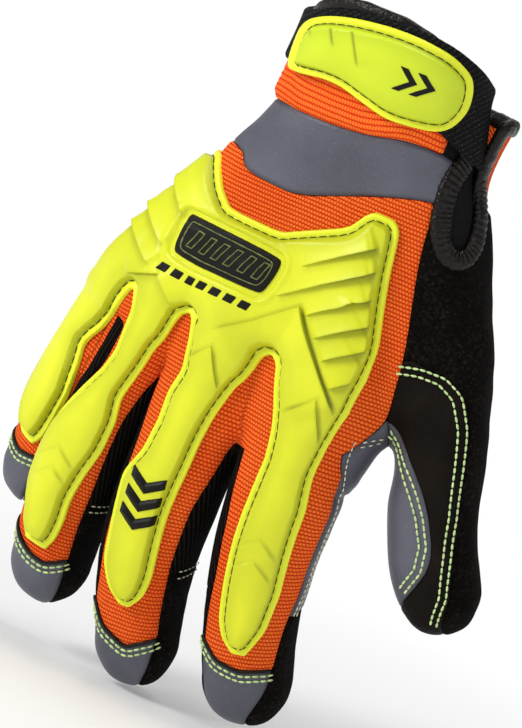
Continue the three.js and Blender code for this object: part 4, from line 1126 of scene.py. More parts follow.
def black_webbing(colours):
    base = tuple(colours.webbing)
    f = Finish("black_webbing", base, 0.8, 0.12)
    across, along = f.value("across"), f.value("along")
    u, v = f.math("DIVIDE", across, 1.5), f.math("DIVIDE", along, 1.1)
    row = f.math("SINE", f.math("MULTIPLY", v, 6.283))
    column = f.math("SINE", f.math("MULTIPLY", f.math("ADD", u, f.math("MULTIPLY", v, 0.5)), 6.283))
    height = f.math("MULTIPLY_ADD", f.math("MULTIPLY", row, column), 0.5, 0.5)
    fleck = f.noise(1500.0, 2.0)
    tone = f.math("MULTIPLY", height, f.spread(fleck, 0.35, 0.65, 0.55, 1.2))
    # painted shade in the weave's hollows and painted highlight on its crowns, varied by random flecks
    f.colour(f.ramp(tone, (0.35, shade(base, 0.5)), (0.75, shade(base, 1.5)), (1.0, (0.06, 0.058, 0.055))))
    f.bump(height, 0.3)
    return f.material


def black_rubber(colours):
    base = tuple(colours.badge)
    f = Finish("black_rubber", base, 0.45, 0.18)
    f.colour(f.mix(f.spread(f.noise(120.0, 3.0), 0.3, 0.7), shade(base, 0.8), shade(base, 1.2)))
    f.bump(f.noise(1200.0, 3.0), 0.03)
    return f.material


def thread(name, colour):
    f = Finish(name, tuple(colour), 0.55, 0.25)
    f.colour(f.mix(f.spread(f.noise(900.0, 2.0), 0.35, 0.65), shade(colour, 0.75), shade(colour, 1.1)))
    f.bump(f.noise(4200.0, 2.0), 0.04)
    return f.material


def lining(colours):
    base = tuple(colours.lining)
    f = Finish("lining", base, 0.95, 0.05)
    f.colour(f.mix(f.noise(700.0, 3.0), shade(base, 0.6), shade(base, 1.4)))
    f.bump(f.noise(1600.0, 3.0), 0.1)
    return f.material


FINISHES = {
    "lime": lime_rubber,
    "orange": lambda c: ribbed_knit("orange_knit", c.orange, c.orange_painted_shade, c.orange_painted_highlight),
    "gather": lambda c: ribbed_knit("orange_gather", c.orange, c.orange_painted_shade, c.orange_painted_highlight, 1.7, 0.9, 0.2),
    "suede": suede,
    "smooth": smooth_leather,
    "binding": lambda c: smooth_leather(c, "black_binding", 0.22, 0.24),
    "grey": satin_cloth,
    "knit": black_knit,
    "webbing": black_webbing,
    "rubber": black_rubber,
    "lining": lining,
    "black_thread": lambda c: thread("black_thread", (0.004, 0.004, 0.004)),
    "olive": lambda c: thread("olive_lines", (0.26, 0.3, 0.1)),
    "green_thread": lambda c: thread("green_thread", tuple(c.green_thread)),
    "white_thread": lambda c: thread("white_thread", tuple(c.white_thread)),
}


def finish(key):
    """The named material, made once."""
    made = finish.__dict__.setdefault("made", {})
    if key not in made:
        made[key] = FINISHES[key](bpy.context.scene.glove_colours)
    return made[key]


# Pieces


def sizes():
    return bpy.context.scene.glove_sizes


def make_back(context):
    wall = sizes().wall / MM

    def ease(skin, depth):
        return 0.25 * waves(skin.points, 26, 3)

    panel("back_panel", "orange_knit", [finish("orange"), finish("lining")], ["back_panel"], wall, extra=ease)


def make_band(context):
    wall = sizes().wall / MM

    def padded(skin, depth):
        return 0.5 * waves(skin.points * [1, 1, 0.6], 26, 5) + 0.25 * smoothstep(depth, 0, 6)

    panel("wrist_band", "grey_cloth", [finish("grey"), finish("lining")], ["wrist_band"], wall, 0.1, 0.45, padded)


def make_caps(context):
    wall = sizes().wall / MM
    for name in FINGERS:
        panel(f"fingertip_{name}", "grey_cloth", [finish("grey"), finish("lining")], [f"fingertip_{name}"], wall,
              extra=lambda skin, depth: 0.12 * waves(skin.points, 9, 8))


def make_sides(context):
    wall = sizes().wall / MM
    panel("index_side", "grey_cloth", [finish("grey"), finish("lining")], ["index_side"], wall,
          extra=lambda skin, depth: 0.15 * waves(skin.points, 12, 9))
    for name in ("fourchette_1", "fourchette_2", "fourchette_3"):
        panel(name, "black_knit", [finish("knit"), finish("lining")], [name], wall)


def make_thumb(context):
    wall = sizes().wall / MM

    def creased(skin, depth):
        place = digit("thumb").place(skin.points)[0]
        folds = np.sin((place * 126 + 3 * waves(skin.points, 20, 4)) * 2 * math.pi / 9)
        folds = 0.8 * folds * smoothstep(0.6 - place, 0, 0.12) * smoothstep(depth, 1, 7)
        return folds + 0.3 * waves(skin.points, 12, 2)

    panel("thumb_side", "grey_cloth", [finish("grey"), finish("lining")], ["thumb_side"], wall,
          extra=lambda skin, depth: 0.15 * waves(skin.points, 12, 6))
    panel("thumb_back", "smooth_leather", [finish("smooth"), finish("lining")], ["thumb_back"], wall, extra=creased)


def make_palm(context):
    wall = sizes().wall / MM

    def uneven(skin, depth):
        return 0.35 * waves(skin.points, 24, 11) + 0.12 * waves(skin.points, 8, 12)

    nodes = ["palm"] + [f"palm_{name}" for name in DIGITS]
    panel("palm", "palm_leather", [finish("suede"), finish("lining")], nodes, wall, extra=uneven)


def segment_place(x, z, ends):
    """Distance above a line, place along it and its length, on the back of the hand."""
    ax, az, bx, bz = np.array(ends) * [PALM_BREADTH, PALM_LENGTH, PALM_BREADTH, PALM_LENGTH]
    length = math.hypot(bx - ax, bz - az)
    tx, tz = (bx - ax) / length, (bz - az) / length
    return (z - az) * tx - (x - ax) * tz, (x - ax) * tx + (z - az) * tz, length


def relief(points, depth):
    """Height and shade of the guard's steps and chevrons."""
    x, z = points[:, 0], points[:, 2]
    body = smoothstep(depth, 3.0, 4.4)
    height, shade = np.zeros(len(x)), np.zeros(len(x))
    for *ends, left, right in STEPS_OF_GUARD:
        above, along, length = segment_place(x, z, ends)
        within = smoothstep(along, -1, 1.5) * smoothstep(length - along, -1.2, 0.3)
        drop = left + (right - left) * np.clip(along / length, 0, 1)
        height += 1.3 * drop * np.exp(-np.maximum(above, 0) / 5) * smoothstep(above, -0.1, 0.1) * within
        line, soft = np.exp(-(((above + 0.3) / 0.5) ** 2)), np.exp(-(((above + 0.9) / 1.3) ** 2))
        shade = np.maximum(shade, within * drop / 1.9 * np.maximum(line, 0.6 * soft * (above < 0.1)))
    for ax, az, px, pz, bx, bz, rise in CHEVRONS:
        above, along, _ = segment_place(x, z, (ax, az, px, pz))
        beyond, past, length = segment_place(x, z, (px, pz, bx, bz))
        inside = np.minimum(-above, -beyond)
        within = smoothstep(along, -1, 3) * smoothstep(length - past, -1, 3)
        height += rise * np.exp(-np.maximum(inside, 0) / 9) * smoothstep(inside, -0.1, 0.1) * within
        side = 0.3 + 0.7 * smoothstep(past, 0, 3)
        shade = np.maximum(shade, within * side * min(rise, 1) * np.exp(-(((inside + 0.4) / 0.6) ** 2)))
    return height * body, shade * body


def moulded(depth, rim, thickness, width):
    """Section of a moulded plate: a sewn-down rim, a groove and a raised body."""
    round_edge = np.clip(depth / 0.6, 0, 1)
    top = rim * np.sqrt(round_edge * (2 - round_edge))
    top = top + (thickness - rim) * smoothstep(depth, width - 0.1, width + 1.1)
    return top + 0.5 * smoothstep(depth, width + 1, width + 8) - 0.35 * np.exp(-(((depth - width + 0.35) / 0.35) ** 2))


def guard_top(points, depth):
    """Height of the guard over the skin, and its shade."""
    s = sizes()
    top = 0.3 + moulded(depth, s.rim_thickness / MM, s.guard_thickness / MM, s.rim_width / MM)
    height, shade = relief(points, depth)
    seat = badge_distance(points)
    top = top + height * smoothstep(seat, 0.6, 2.4)
    top = top - 0.6 * (1 - smoothstep(seat, 1.4, 2.0)) + 0.4 * np.exp(-(((seat - 2.9) / 0.8) ** 2))
    return top, shade * smoothstep(seat, 1, 2.5)


def badge_distance(points):
    shape = rounded(np.array(BADGE_OUTLINE) * [PALM_BREADTH, PALM_LENGTH], 3, 0.25)
    return np.maximum(outline_distance(shape, points[:, 0], points[:, 2]), points[:, 1] - 2)


def edge_levels(width):
    return 0.0, -0.25, -0.6, -width + 0.15, -width - 0.35, -width - 0.9, -width - 1.5


def rim_lines(skin, top, width):
    """Paths for the thread in the groove inside a moulded rim."""
    lines = []
    for chain, closed in skin.level_lines("edge", -width + 0.15):
        if len(chain) > 12:
            path = skin.points[chain] + skin.values["normal"][chain] * (top[chain] + 0.12)[:, None]
            lines.append((even(path, 1.0, closed), closed))
    return lines


def make_guard(context):
    width = sizes().rim_width / MM
    skin = skin_part(regions()["guard"], 1.6).refine()
    for level in edge_levels(width):
        skin.split("edge", level, 0.05)
    skin.keep("edge", 0.0)
    for *ends, _, _ in STEPS_OF_GUARD:
        for level in (-0.1, 0.1):
            skin.values["line"] = segment_place(skin.points[:, 0], skin.points[:, 2], ends)[0]
            skin.split("line", level, 0.03)
    for *ends, _ in CHEVRONS[:3]:
        for pair in (ends[:4], ends[2:]):
            for level in (-0.1, 0.1):
                skin.values["line"] = segment_place(skin.points[:, 0], skin.points[:, 2], pair)[0]
                skin.split("line", level, 0.03)
    top, skin.values["shade"] = guard_top(skin.points, -skin.values["edge"])
    attach(wall_object("guard", skin, top, 0.1, [finish("lime")]), "lime_rubber", "guard")
    stitch_rows("guard_stitching", rim_lines(skin, top, width), "black_thread", 2.9, 3.15, 0.36)


def inlay(name, distance, rise, key, slot=None, *nodes):
    """A flat plate let into the guard, or a mark printed thickly on it. distance gives each point's distance
    from its edge."""
    skin = skin_part(distance(glove_skin()[0]), 1.2).refine()
    skin.values["edge"] = distance(skin.points)
    skin.keep("edge", 0.8).refine()
    skin.values["edge"] = distance(skin.points)
    for level in (0.0, -0.25):
        skin.split("edge", level, 0.04)
    skin.keep("edge", 0.0)
    depth = -skin.values["edge"]
    top = guard_top(skin.points, -skin.values["guard"])[0]
    height = top + rise(depth) if callable(rise) else top + rise * smoothstep(depth, -0.1, 0.3)
    thing = wall_object(name, skin, height, top - 0.6, [finish(key)])
    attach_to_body(thing, "root")
    if slot:
        attach(thing, slot, *nodes)
    return thing


def marks_distance(points, outlines, line=None):
    """Distance from a set of marks on the back of the hand, filled or drawn as lines of a width."""
    x, z = points[:, 0], points[:, 2]
    marks = [outline_distance(np.array(outline, float), x, z) for outline in outlines]
    if line:
        marks = [np.abs(mark) - line / 2 for mark in marks]
    return np.maximum(np.minimum.reduce(marks), points[:, 1] - 2)


def make_badge(context):
    plate = lambda depth: 0.15 + 0.6 * smoothstep(depth, 0, 0.4)
    inlay("badge", badge_distance, plate, "rubber", "black_rubber", "badge")
    border = np.array(BADGE_OUTLINE) * [PALM_BREADTH, PALM_LENGTH]
    middle = border.mean(0)
    border = rounded(middle + (border - middle) * [0.88, 0.72], 3, 0.25)
    bars = [[(left - 2.2, -73.2), (left - 0.2, -73.2), (left + 2.4, -67.6), (left + 0.4, -67.6)]
            for left in np.arange(-28.5, -5, 4.6)]
    lines = lambda points: marks_distance(points, [border, *bars], 0.62)
    inlay("badge_lines", lines, 1.25, "olive", "black_rubber")
    row = [[(left, -83.2), (left + 3.1, -83.2), (left + 4, -80.6), (left + 0.9, -80.6)]
           for left in np.arange(-37, -6, 4.7)]
    inlay("badge_bars", lambda points: marks_distance(points, row), 0.3, "rubber", "black_rubber")
    chevron = np.array([(-5.3, 0), (0, -3.4), (5.3, 0), (5.3, -3.3), (0, -6.9), (-5.3, -3.3)])
    chevrons = [chevron + [-15.3, high] for high in (-139.4, -145.2, -151)]
    bevel = lambda depth: 0.2 + 0.7 * smoothstep(depth, 0, 1.3)
    inlay("strip_chevrons", lambda points: marks_distance(points, chevrons), bevel, "rubber", "black_rubber")


def make_strap(context):
    s = sizes()
    skin = skin_part(regions()["strap"], 2.0)
    for level in (-0.05, -0.5, -1.2):
        skin.split("edge", level)
    skin.keep("edge", -0.05)
    depth = -skin.values["edge"]
    across, up, _ = seen_from(STRAP_AZIMUTH, skin.points)
    skin.values["across"], skin.values["along"] = across, up + 0.25 * across
    top = STRAP_BASE + s.strap_thickness / MM * (0.55 + 0.45 * smoothstep(depth, 0, 0.9))
    attach(wall_object("strap", skin, top, STRAP_BASE, [finish("webbing")]), "black_webbing", "strap")

    width = s.rim_width / MM
    skin = skin_part(regions()["strap_pad"], 1.6).refine()
    for level in edge_levels(width):
        skin.split("edge", level, 0.05)
    skin.keep("edge", 0.0)
    depth = -skin.values["edge"]
    top = PAD_BASE + moulded(depth, s.rim_thickness / MM, s.pad_thickness / MM, width)
    across, up, _ = seen_from(STRAP_AZIMUTH, skin.points)
    shade = np.zeros(len(top))
    for ax, az, bx, bz in PAD_CREASES:
        ends = np.array((ax, az, bx, bz)) * np.tile([WRIST_BREADTH / PALM_BREADTH, WRIST_DEPTH / PALM_LENGTH], 2)
        above, along, length = segment_place(across, up, ends)
        within = smoothstep(along, -0.5, 1) * smoothstep(length - along, -0.5, 2)
        within = within * smoothstep(depth, width + 0.6, width + 1.4)
        top = top + 0.6 * within * np.exp(-np.maximum(above, 0) / 2.5) * smoothstep(above, -0.15, 0.15)
        shade = np.maximum(shade, 0.8 * within * np.exp(-(((above + 0.3) / 0.45) ** 2)))
    skin.values["shade"] = shade
    attach(wall_object("strap_pad", skin, top, PAD_BASE - 0.1, [finish("lime")]), "lime_rubber", "strap_pad")
    stitch_rows("pad_stitching", rim_lines(skin, top, width), "black_thread", 3.1, 3.3, 0.34)

    def pad_marks(points):
        across, up, towards = seen_from(STRAP_AZIMUTH, points)
        chevron = np.array([(0, 0), (3.4, 3.6), (0, 7.2), (2, 7.2), (5.4, 3.6), (2, 0)])
        marks = [outline_distance(chevron + [left, -3.6], across, up) for left in (6.2, 10.6)]
        return np.maximum(np.minimum.reduce(marks), 8 - towards)

    skin = skin_part(pad_marks(glove_skin()[0]), 1.2).refine().refine()
    skin.values["edge"] = pad_marks(skin.points)
    skin.split("edge", 0.0, 0.03).keep("edge", 0.0)
    base = PAD_BASE + s.pad_thickness / MM + 0.5
    thing = wall_object("pad_chevrons", skin, base + 0.15, base - 0.6, [finish("rubber")])
    attach(thing, "black_rubber")


def make_gather(context):
    s = sizes()
    rise = s.gather_rise / MM

    def ruched(skin, depth):
        points = skin.points
        above = -outline_distance(on_palm(BAND_TOP + CUFF_TOP), points[:, 0], points[:, 2])
        above = above + 1.1 * waves(points * [1, 1, 0.3], 30, 31)
        ribs = np.abs(np.sin(np.pi * above / 1.75)) ** 0.7
        skin.values["along"] = above
        bulge = smoothstep(depth, 0.0, 1.6)
        return rise * (0.35 * bulge + 0.65 * smoothstep(depth, 0, 3.0)) + 0.4 * (ribs - 0.6) * bulge

    panel("cuff_gather", "orange_knit", [finish("gather"), finish("lining")], ["cuff_gather"], s.wall / MM,
          extra=ruched)
    panel("cuff_palm", "orange_knit", [finish("orange"), finish("lining")], ["cuff_palm"], s.wall / MM)


def cuff_point(azimuth):
    """Where the rim of the cuff crosses an azimuth, and the way out of it."""
    tree = glove_tree()
    turn = math.radians(azimuth)
    way = Vector((math.sin(turn), -math.cos(turn), 0))
    height, where, out = 0.0, None, None
    for _ in range(6):
        centre = Vector((WRIST_MIDDLE[0], WRIST_MIDDLE[1] - 0.25 * max(height, 0), height))
        where, out, _, _ = tree.ray_cast(centre + way * 80, -way)
        height = float(rim_height(np.array(where.y)))
    return np.array(where), np.array(out)


def make_binding(context):
    turns = np.linspace(FLAP_TO + 1, 360 + CUFF_END - 1, 150)
    found = [cuff_point(t) for t in turns]
    path = even(np.array([f[0] for f in found]), 1.0)
    ways = np.array([f[1] for f in found])
    ways = ways[np.linspace(0, len(ways) - 1, len(path)).round().astype(int)]
    ways = np.stack([np.convolve(np.pad(ways[:, k], 4, mode="edge"), np.ones(9) / 9, "valid") for k in range(3)], 1)
    ways[:, 2] *= 0.3
    ways /= np.linalg.norm(ways, axis=1)[:, None]
    section = oval(BINDING_HEIGHT, 3.4, 16, power=2.8)
    puckers = 1 + 0.06 * waves(path, 5, 41)
    section = section[None] * puckers[:, None, None]
    down = np.array([0, 0, -BINDING_HEIGHT / 2])
    points, faces = sweep(path + down - ways * 0.5, ways, section)
    values = {"across": points[:, 0], "along": points[:, 2], "edge": points[:, 2] * 0}
    thing = mesh_object("cuff_binding", points, triangles(faces), [finish("binding")], values=values)
    attach(thing, "smooth_leather", "cuff_binding")


def make_slit(context):
    """The binding around the slit, pleated and rounded in section, and the dark cloth behind it."""
    turn = math.radians(SLIT_AZIMUTH)
    towards, across = np.array([math.sin(turn), -math.cos(turn), 0]), np.array([math.cos(turn), math.sin(turn), 0])
    tree = glove_tree()
    line = even(np.array(SLIT_LINE[:-1], float), 0.4)
    line = np.stack([averaged(line[:, k], 15) for k in (0, 1)], 1)
    path = []
    for a, up in line:
        start = across * a + np.array([0, 0, up]) + towards * 90
        hit = tree.ray_cast(Vector(start), Vector(-towards))
        path.append(hit[0] if hit[0] else Vector(start - towards * 60))
    path, ways = project(np.array(path))
    ways = np.stack([averaged(ways[:, k], 21) for k in range(3)], 1)
    run = np.arange(len(path)) * 0.4
    pleat = 0.5 + 0.5 * np.sin(run * 2 * math.pi / 1.7 + 1.8 * np.sin(run / 3.1))
    wide = SLIT_BINDING * (1 + 0.08 * waves(path, 9, 51))
    unit = oval(1, 1, 16, power=2.3)[None] * np.stack([wide + 0.5 * pleat, 3.0 + 0.8 * pleat], 1)[:, None]
    points, faces = sweep(path - ways * 0.2, ways, unit)
    values = {"across": points[:, 0], "along": points[:, 2], "edge": points[:, 2] * 0}
    thing = mesh_object("slit_binding", points, triangles(faces), [finish("binding")], values=values)
    attach(thing, "smooth_leather", "slit_binding")
    points = glove_skin()[0]
    a, up, near = seen_from(SLIT_AZIMUTH, points)
    azimuth = np.degrees(np.arctan2(points[:, 0] - WRIST_MIDDLE[0], WRIST_MIDDLE[1] - points[:, 1]))
    upper = np.maximum.reduce([52 - azimuth, azimuth - 96, points[:, 2] + 4, -46 - points[:, 2]])
    behind = np.minimum(outline_distance(np.array(SLIT_LINE, float), a, up), upper)
    skin = skin_part(np.maximum(behind, -near), 1.0).split("edge", 0.0).keep("edge", 0.0)
    thing = wall_object("slit_lining", skin, -1.2, -1.9, [finish("lining")])
    attach(thing, "smooth_leather")


def wrist_point(azimuth, z, grow):
    """A point of the wrist's own section at a height."""
    heights, _, across, deep, breadth, depth = palm_table()
    c, s = np.cos(np.radians(azimuth - 90)), np.sin(np.radians(azimuth - 90))
    power = 2 / SQUARENESS
    x = np.interp(z, heights, across) + np.sign(c) * np.abs(c) ** power * (np.interp(z, heights, breadth) + grow)
    y = np.interp(z, heights, deep) + np.sign(s) * np.abs(s) ** power * (np.interp(z, heights, depth) + grow)
    return np.stack([x, y, z + 0 * x], -1)


def flap_point(azimuth, z, away=0.0):
    rise = np.clip((z + CUFF_LENGTH) / (FLAP_TOP + CUFF_LENGTH), 0, 1)
    around = np.clip((azimuth - FLAP_FROM) / (FLAP_TO - FLAP_FROM), 0, 1)
    flare = FLAP_FLARE * rise**1.5 * np.cos(np.pi / 2 * around) ** 1.4
    return wrist_point(azimuth, z, flare + away)


def make_flap(context):
    """The palm side's cuff flap, flaring out, with its bound edge."""
    azimuths = np.linspace(FLAP_FROM + 1, FLAP_TO, 70)
    heights = np.linspace(-CUFF_LENGTH + 0.4, FLAP_TOP - 1.5, 40)
    a, z = np.meshgrid(azimuths, heights, indexing="ij")
    outer = flap_point(a, z).reshape(-1, 3)
    inner = flap_point(a, z, -1.8).reshape(-1, 3)
    n, m = a.shape
    i, j = np.meshgrid(np.arange(n - 1), np.arange(m - 1), indexing="ij")
    quad = np.stack([i * m + j, (i + 1) * m + j, (i + 1) * m + j + 1, i * m + j + 1], -1).reshape(-1, 4)
    ring = np.concatenate([np.arange(n) * m, (n - 1) * m + np.arange(1, m), np.arange(n - 2, -1, -1) * m + m - 1,
                           np.arange(m - 2, 0, -1)])
    ahead = np.roll(ring, -1)
    count = n * m
    side = np.stack([ahead, ring, ring + count, ahead + count], 1)
    faces = triangles(np.concatenate([quad, quad[:, ::-1] + count, side]))
    points = np.concatenate([outer, inner])
    values = {"across": np.tile((a * 0.5 + z * 0.35).ravel(), 2), "along": np.tile((z - a * 0.28).ravel(), 2),
              "edge": np.zeros(2 * count)}
    thing = mesh_object("cuff_flap", points, faces, [finish("orange")], values=values)
    attach(thing, "orange_knit", "cuff_flap")
    up = np.linspace(-CUFF_LENGTH - 1, FLAP_TOP - 2.5, 30)
    turn = np.linspace(FLAP_FROM + 3.5, FLAP_TO, 60)
    bend = np.linspace(0, np.pi / 2, 8)[1:-1]
    corner_z, corner_a = FLAP_TOP - 2.5 + 1.5 * np.sin(bend), FLAP_FROM + 3.5 * (1 - np.cos(bend))
    path_a = np.concatenate([np.full(30, FLAP_FROM * 1.0), corner_a, turn])
    path_z = np.concatenate([up, corner_z, np.full(60, FLAP_TOP - 1.0)])
    path = even(flap_point(path_a, path_z, -0.9), 0.5)
    ways = (path - [*WRIST_MIDDLE, 0]) * [1, 1, 0]
    ways /= np.linalg.norm(ways, axis=1)[:, None]
    puckers = 1 + 0.08 * waves(path, 4, 43)
    wide = 1 + 0.3 * smoothstep(-path[:, 2], 4, 20)
    section = oval(5.2, 3.6, 16, power=2.4)[None] * np.stack([puckers * wide, puckers], 1)[:, None]
    points, faces = sweep(path, ways, section)
    values = {"across": points[:, 0], "along": points[:, 2], "edge": points[:, 2] * 0}
    thing = mesh_object("flap_binding", points, triangles(faces), [finish("binding")], values=values)
    attach(thing, "smooth_leather", "flap_binding")


# Stitching


@functools.cache
def stitch_tree():
    """Geometry nodes that lay one thread's stitches along a path."""
    tree = bpy.data.node_groups.new("stitch_rows", "GeometryNodeTree")
    tree.interface.new_socket("Geometry", in_out="INPUT", socket_type="NodeSocketGeometry")
    for label, value in (("Stitch Length", 0.0022), ("Pitch", 0.003), ("Thread Width", 0.0006)):
        socket = tree.interface.new_socket(label, in_out="INPUT", socket_type="NodeSocketFloat")
        socket.default_value = value
    tree.interface.new_socket("Thread", in_out="INPUT", socket_type="NodeSocketMaterial")
    tree.interface.new_socket("Geometry", in_out="OUTPUT", socket_type="NodeSocketGeometry")
    nodes, link = tree.nodes, tree.links.new
    start, end = nodes.new("NodeGroupInput"), nodes.new("NodeGroupOutput")
    spread = nodes.new("GeometryNodeCurveToPoints")
    spread.mode = "LENGTH"
    ball = nodes.new("GeometryNodeMeshUVSphere")
    ball.inputs["Segments"].default_value, ball.inputs["Rings"].default_value = 8, 6
    ball.inputs["Radius"].default_value = 0.5
    size = nodes.new("ShaderNodeCombineXYZ")
    shape = nodes.new("GeometryNodeTransform")
    turn = nodes.new("FunctionNodeAlignRotationToVector")
    turn.axis = "Z"
    place = nodes.new("GeometryNodeInstanceOnPoints")
    real, paint = nodes.new("GeometryNodeRealizeInstances"), nodes.new("GeometryNodeSetMaterial")
    smooth = nodes.new("GeometryNodeSetShadeSmooth")
    link(start.outputs["Geometry"], spread.inputs["Curve"])
    link(start.outputs["Pitch"], spread.inputs["Length"])
    link(start.outputs["Thread Width"], size.inputs["X"])
    link(start.outputs["Thread Width"], size.inputs["Y"])
    link(start.outputs["Stitch Length"], size.inputs["Z"])
    link(ball.outputs["Mesh"], shape.inputs["Geometry"])
    link(size.outputs[0], shape.inputs["Scale"])
    link(spread.outputs["Tangent"], turn.inputs["Vector"])
    link(spread.outputs["Points"], place.inputs["Points"])
    link(shape.outputs[0], place.inputs["Instance"])
    link(turn.outputs[0], place.inputs["Rotation"])
    link(place.outputs[0], real.inputs[0])
    link(real.outputs[0], smooth.inputs[0])
    link(smooth.outputs[0], paint.inputs["Geometry"])
    link(start.outputs["Thread"], paint.inputs["Material"])
    link(paint.outputs[0], end.inputs[0])
    return tree


def stitch_rows(name, lines, thread_key, length, pitch, width):
    """Rows of stitches along paths in millimetres."""
    curve = bpy.data.curves.new(name, "CURVE")
    curve.dimensions = "3D"
    for path, closed in lines:
        spline = curve.splines.new("POLY")
        spline.points.add(len(path) - 1)
        spline.points.foreach_set("co", np.concatenate([path * MM, np.ones((len(path), 1))], 1).ravel())
        spline.use_cyclic_u = bool(closed)
    path_object = bpy.data.objects.new(name, curve)
    bpy.context.scene.collection.objects.link(path_object)
    rows = path_object.modifiers.new("rows", "NODES")
    rows.node_group = stitch_tree()
    sockets = {i.name: i.identifier for i in stitch_tree().interface.items_tree if i.in_out == "INPUT"}
    rows[sockets["Stitch Length"]] = length * MM
    rows[sockets["Pitch"]] = pitch * MM
    rows[sockets["Thread Width"]] = width * MM
    rows[sockets["Thread"]] = finish(thread_key)
    graph = bpy.context.evaluated_depsgraph_get()
    mesh = bpy.data.meshes.new_from_object(path_object.evaluated_get(graph))
    bpy.data.objects.remove(path_object)
    mesh.name = name
    thing = bpy.data.objects.new(name, mesh)
    bpy.context.scene.collection.objects.link(thing)
    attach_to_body(thing, "root")
    return thing


def digit_path(name, rows, inset=0.0, step=0.5, lift=0.35):
    """A path down or around a digit through rows of share and angle, moved sideways by an inset."""
    rows = np.array(rows, float)
    half = DIGITS[name][0][1] / 2
    flat = np.stack([np.radians(rows[:, 1]) * half, -rows[:, 0] * digit(name).length], 1)
    run = np.concatenate([[0], np.cumsum(np.linalg.norm(np.diff(flat, axis=0), axis=1))])
    at = np.linspace(0, run[-1], max(int(run[-1] / step), 4))
    flat = np.stack([averaged(np.interp(at, run, flat[:, k]), 9) for k in (0, 1)], 1)
    way = np.gradient(flat, axis=0)
    way /= np.linalg.norm(way, axis=1)[:, None] + 1e-9
    flat = flat + np.stack([way[:, 1], -way[:, 0]], 1) * inset
    points = digit(name).point(-flat[:, 1] / digit(name).length, np.degrees(flat[:, 0] / half))
    return project(points, lift)[0]


def make_seams(context):
    """Stitching of the panels, and the piping of the fingertips."""
    green, white = [], []
    piping_points, piping_faces = [], []
    for name in FINGERS:
        low, high = CAP_ROWS[name][1][1:]
        rows = [(np.interp(t, *zip(*CAP_STARTS[name])), t) for t in np.linspace(low + 2, high - 2, 28)]
        for inset in (1.4, 3.1):
            green.append((digit_path(name, rows, inset), False))
        path = digit_path(name, rows, 0.0, lift=0.0)
        ways = project(path)[1]
        points, faces = sweep(path + ways * 0.15, ways, oval(1.1, 1.1, 8, power=2))
        piping_faces.append(triangles(faces) + sum(len(p) for p in piping_points))
        piping_points.append(points)
    points = np.concatenate(piping_points)
    values = {key: points[:, 2] for key in ("across", "along", "edge")}
    piping = mesh_object("cap_piping", points, np.concatenate(piping_faces), [finish("black_thread")], values=values)
    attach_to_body(piping, "root")
    border = [(0.352, -25), (0.362, -4), (0.383, 18), (0.425, 33), (0.497, 39), (0.586, 38), (0.704, 35),
              (0.801, 26), (0.895, 14), (0.958, -6)]
    for inset in (-0.2, 1.9):
        green.append((digit_path("thumb", border, inset), False))
    border = [(0.49, -45), (0.544, -27), (0.6, -13), (0.65, -4), (0.7, 2), (0.77, 4), (0.831, -8), (0.878, -34)]
    for inset in (1.3, 3.3):
        green.append((digit_path("thumb", border, inset), False))
    for first, inset in ((0.15, 1.2), (0.42, 2.8)):
        border = [(first, 75), (0.5, 76), (0.58, 75), (0.62, 69), (0.65, 64)]
        white.append((digit_path("index", border, -inset), False))
    for down in (0.0, 1.7):
        ends = np.array([(39.4, 1.0, -106.4 - down), (42.4, 4.8, -104.0 - down)])
        white.append((project(np.linspace(*ends, 12), 0.35)[0], False))
    for name, low, high in (("ring", 62, 108), ("middle", 66, 112)):
        for along in (FOURCHETTE_END - 0.008, FOURCHETTE_END + 0.012):
            white.append((digit_path(name, [(along, low), (along, high)]), False))
    stitch_rows("green_stitching", green, "green_thread", 1.95, 2.15, 0.76)
    stitch_rows("white_stitching", white, "white_thread", 1.5, 1.9, 0.5)


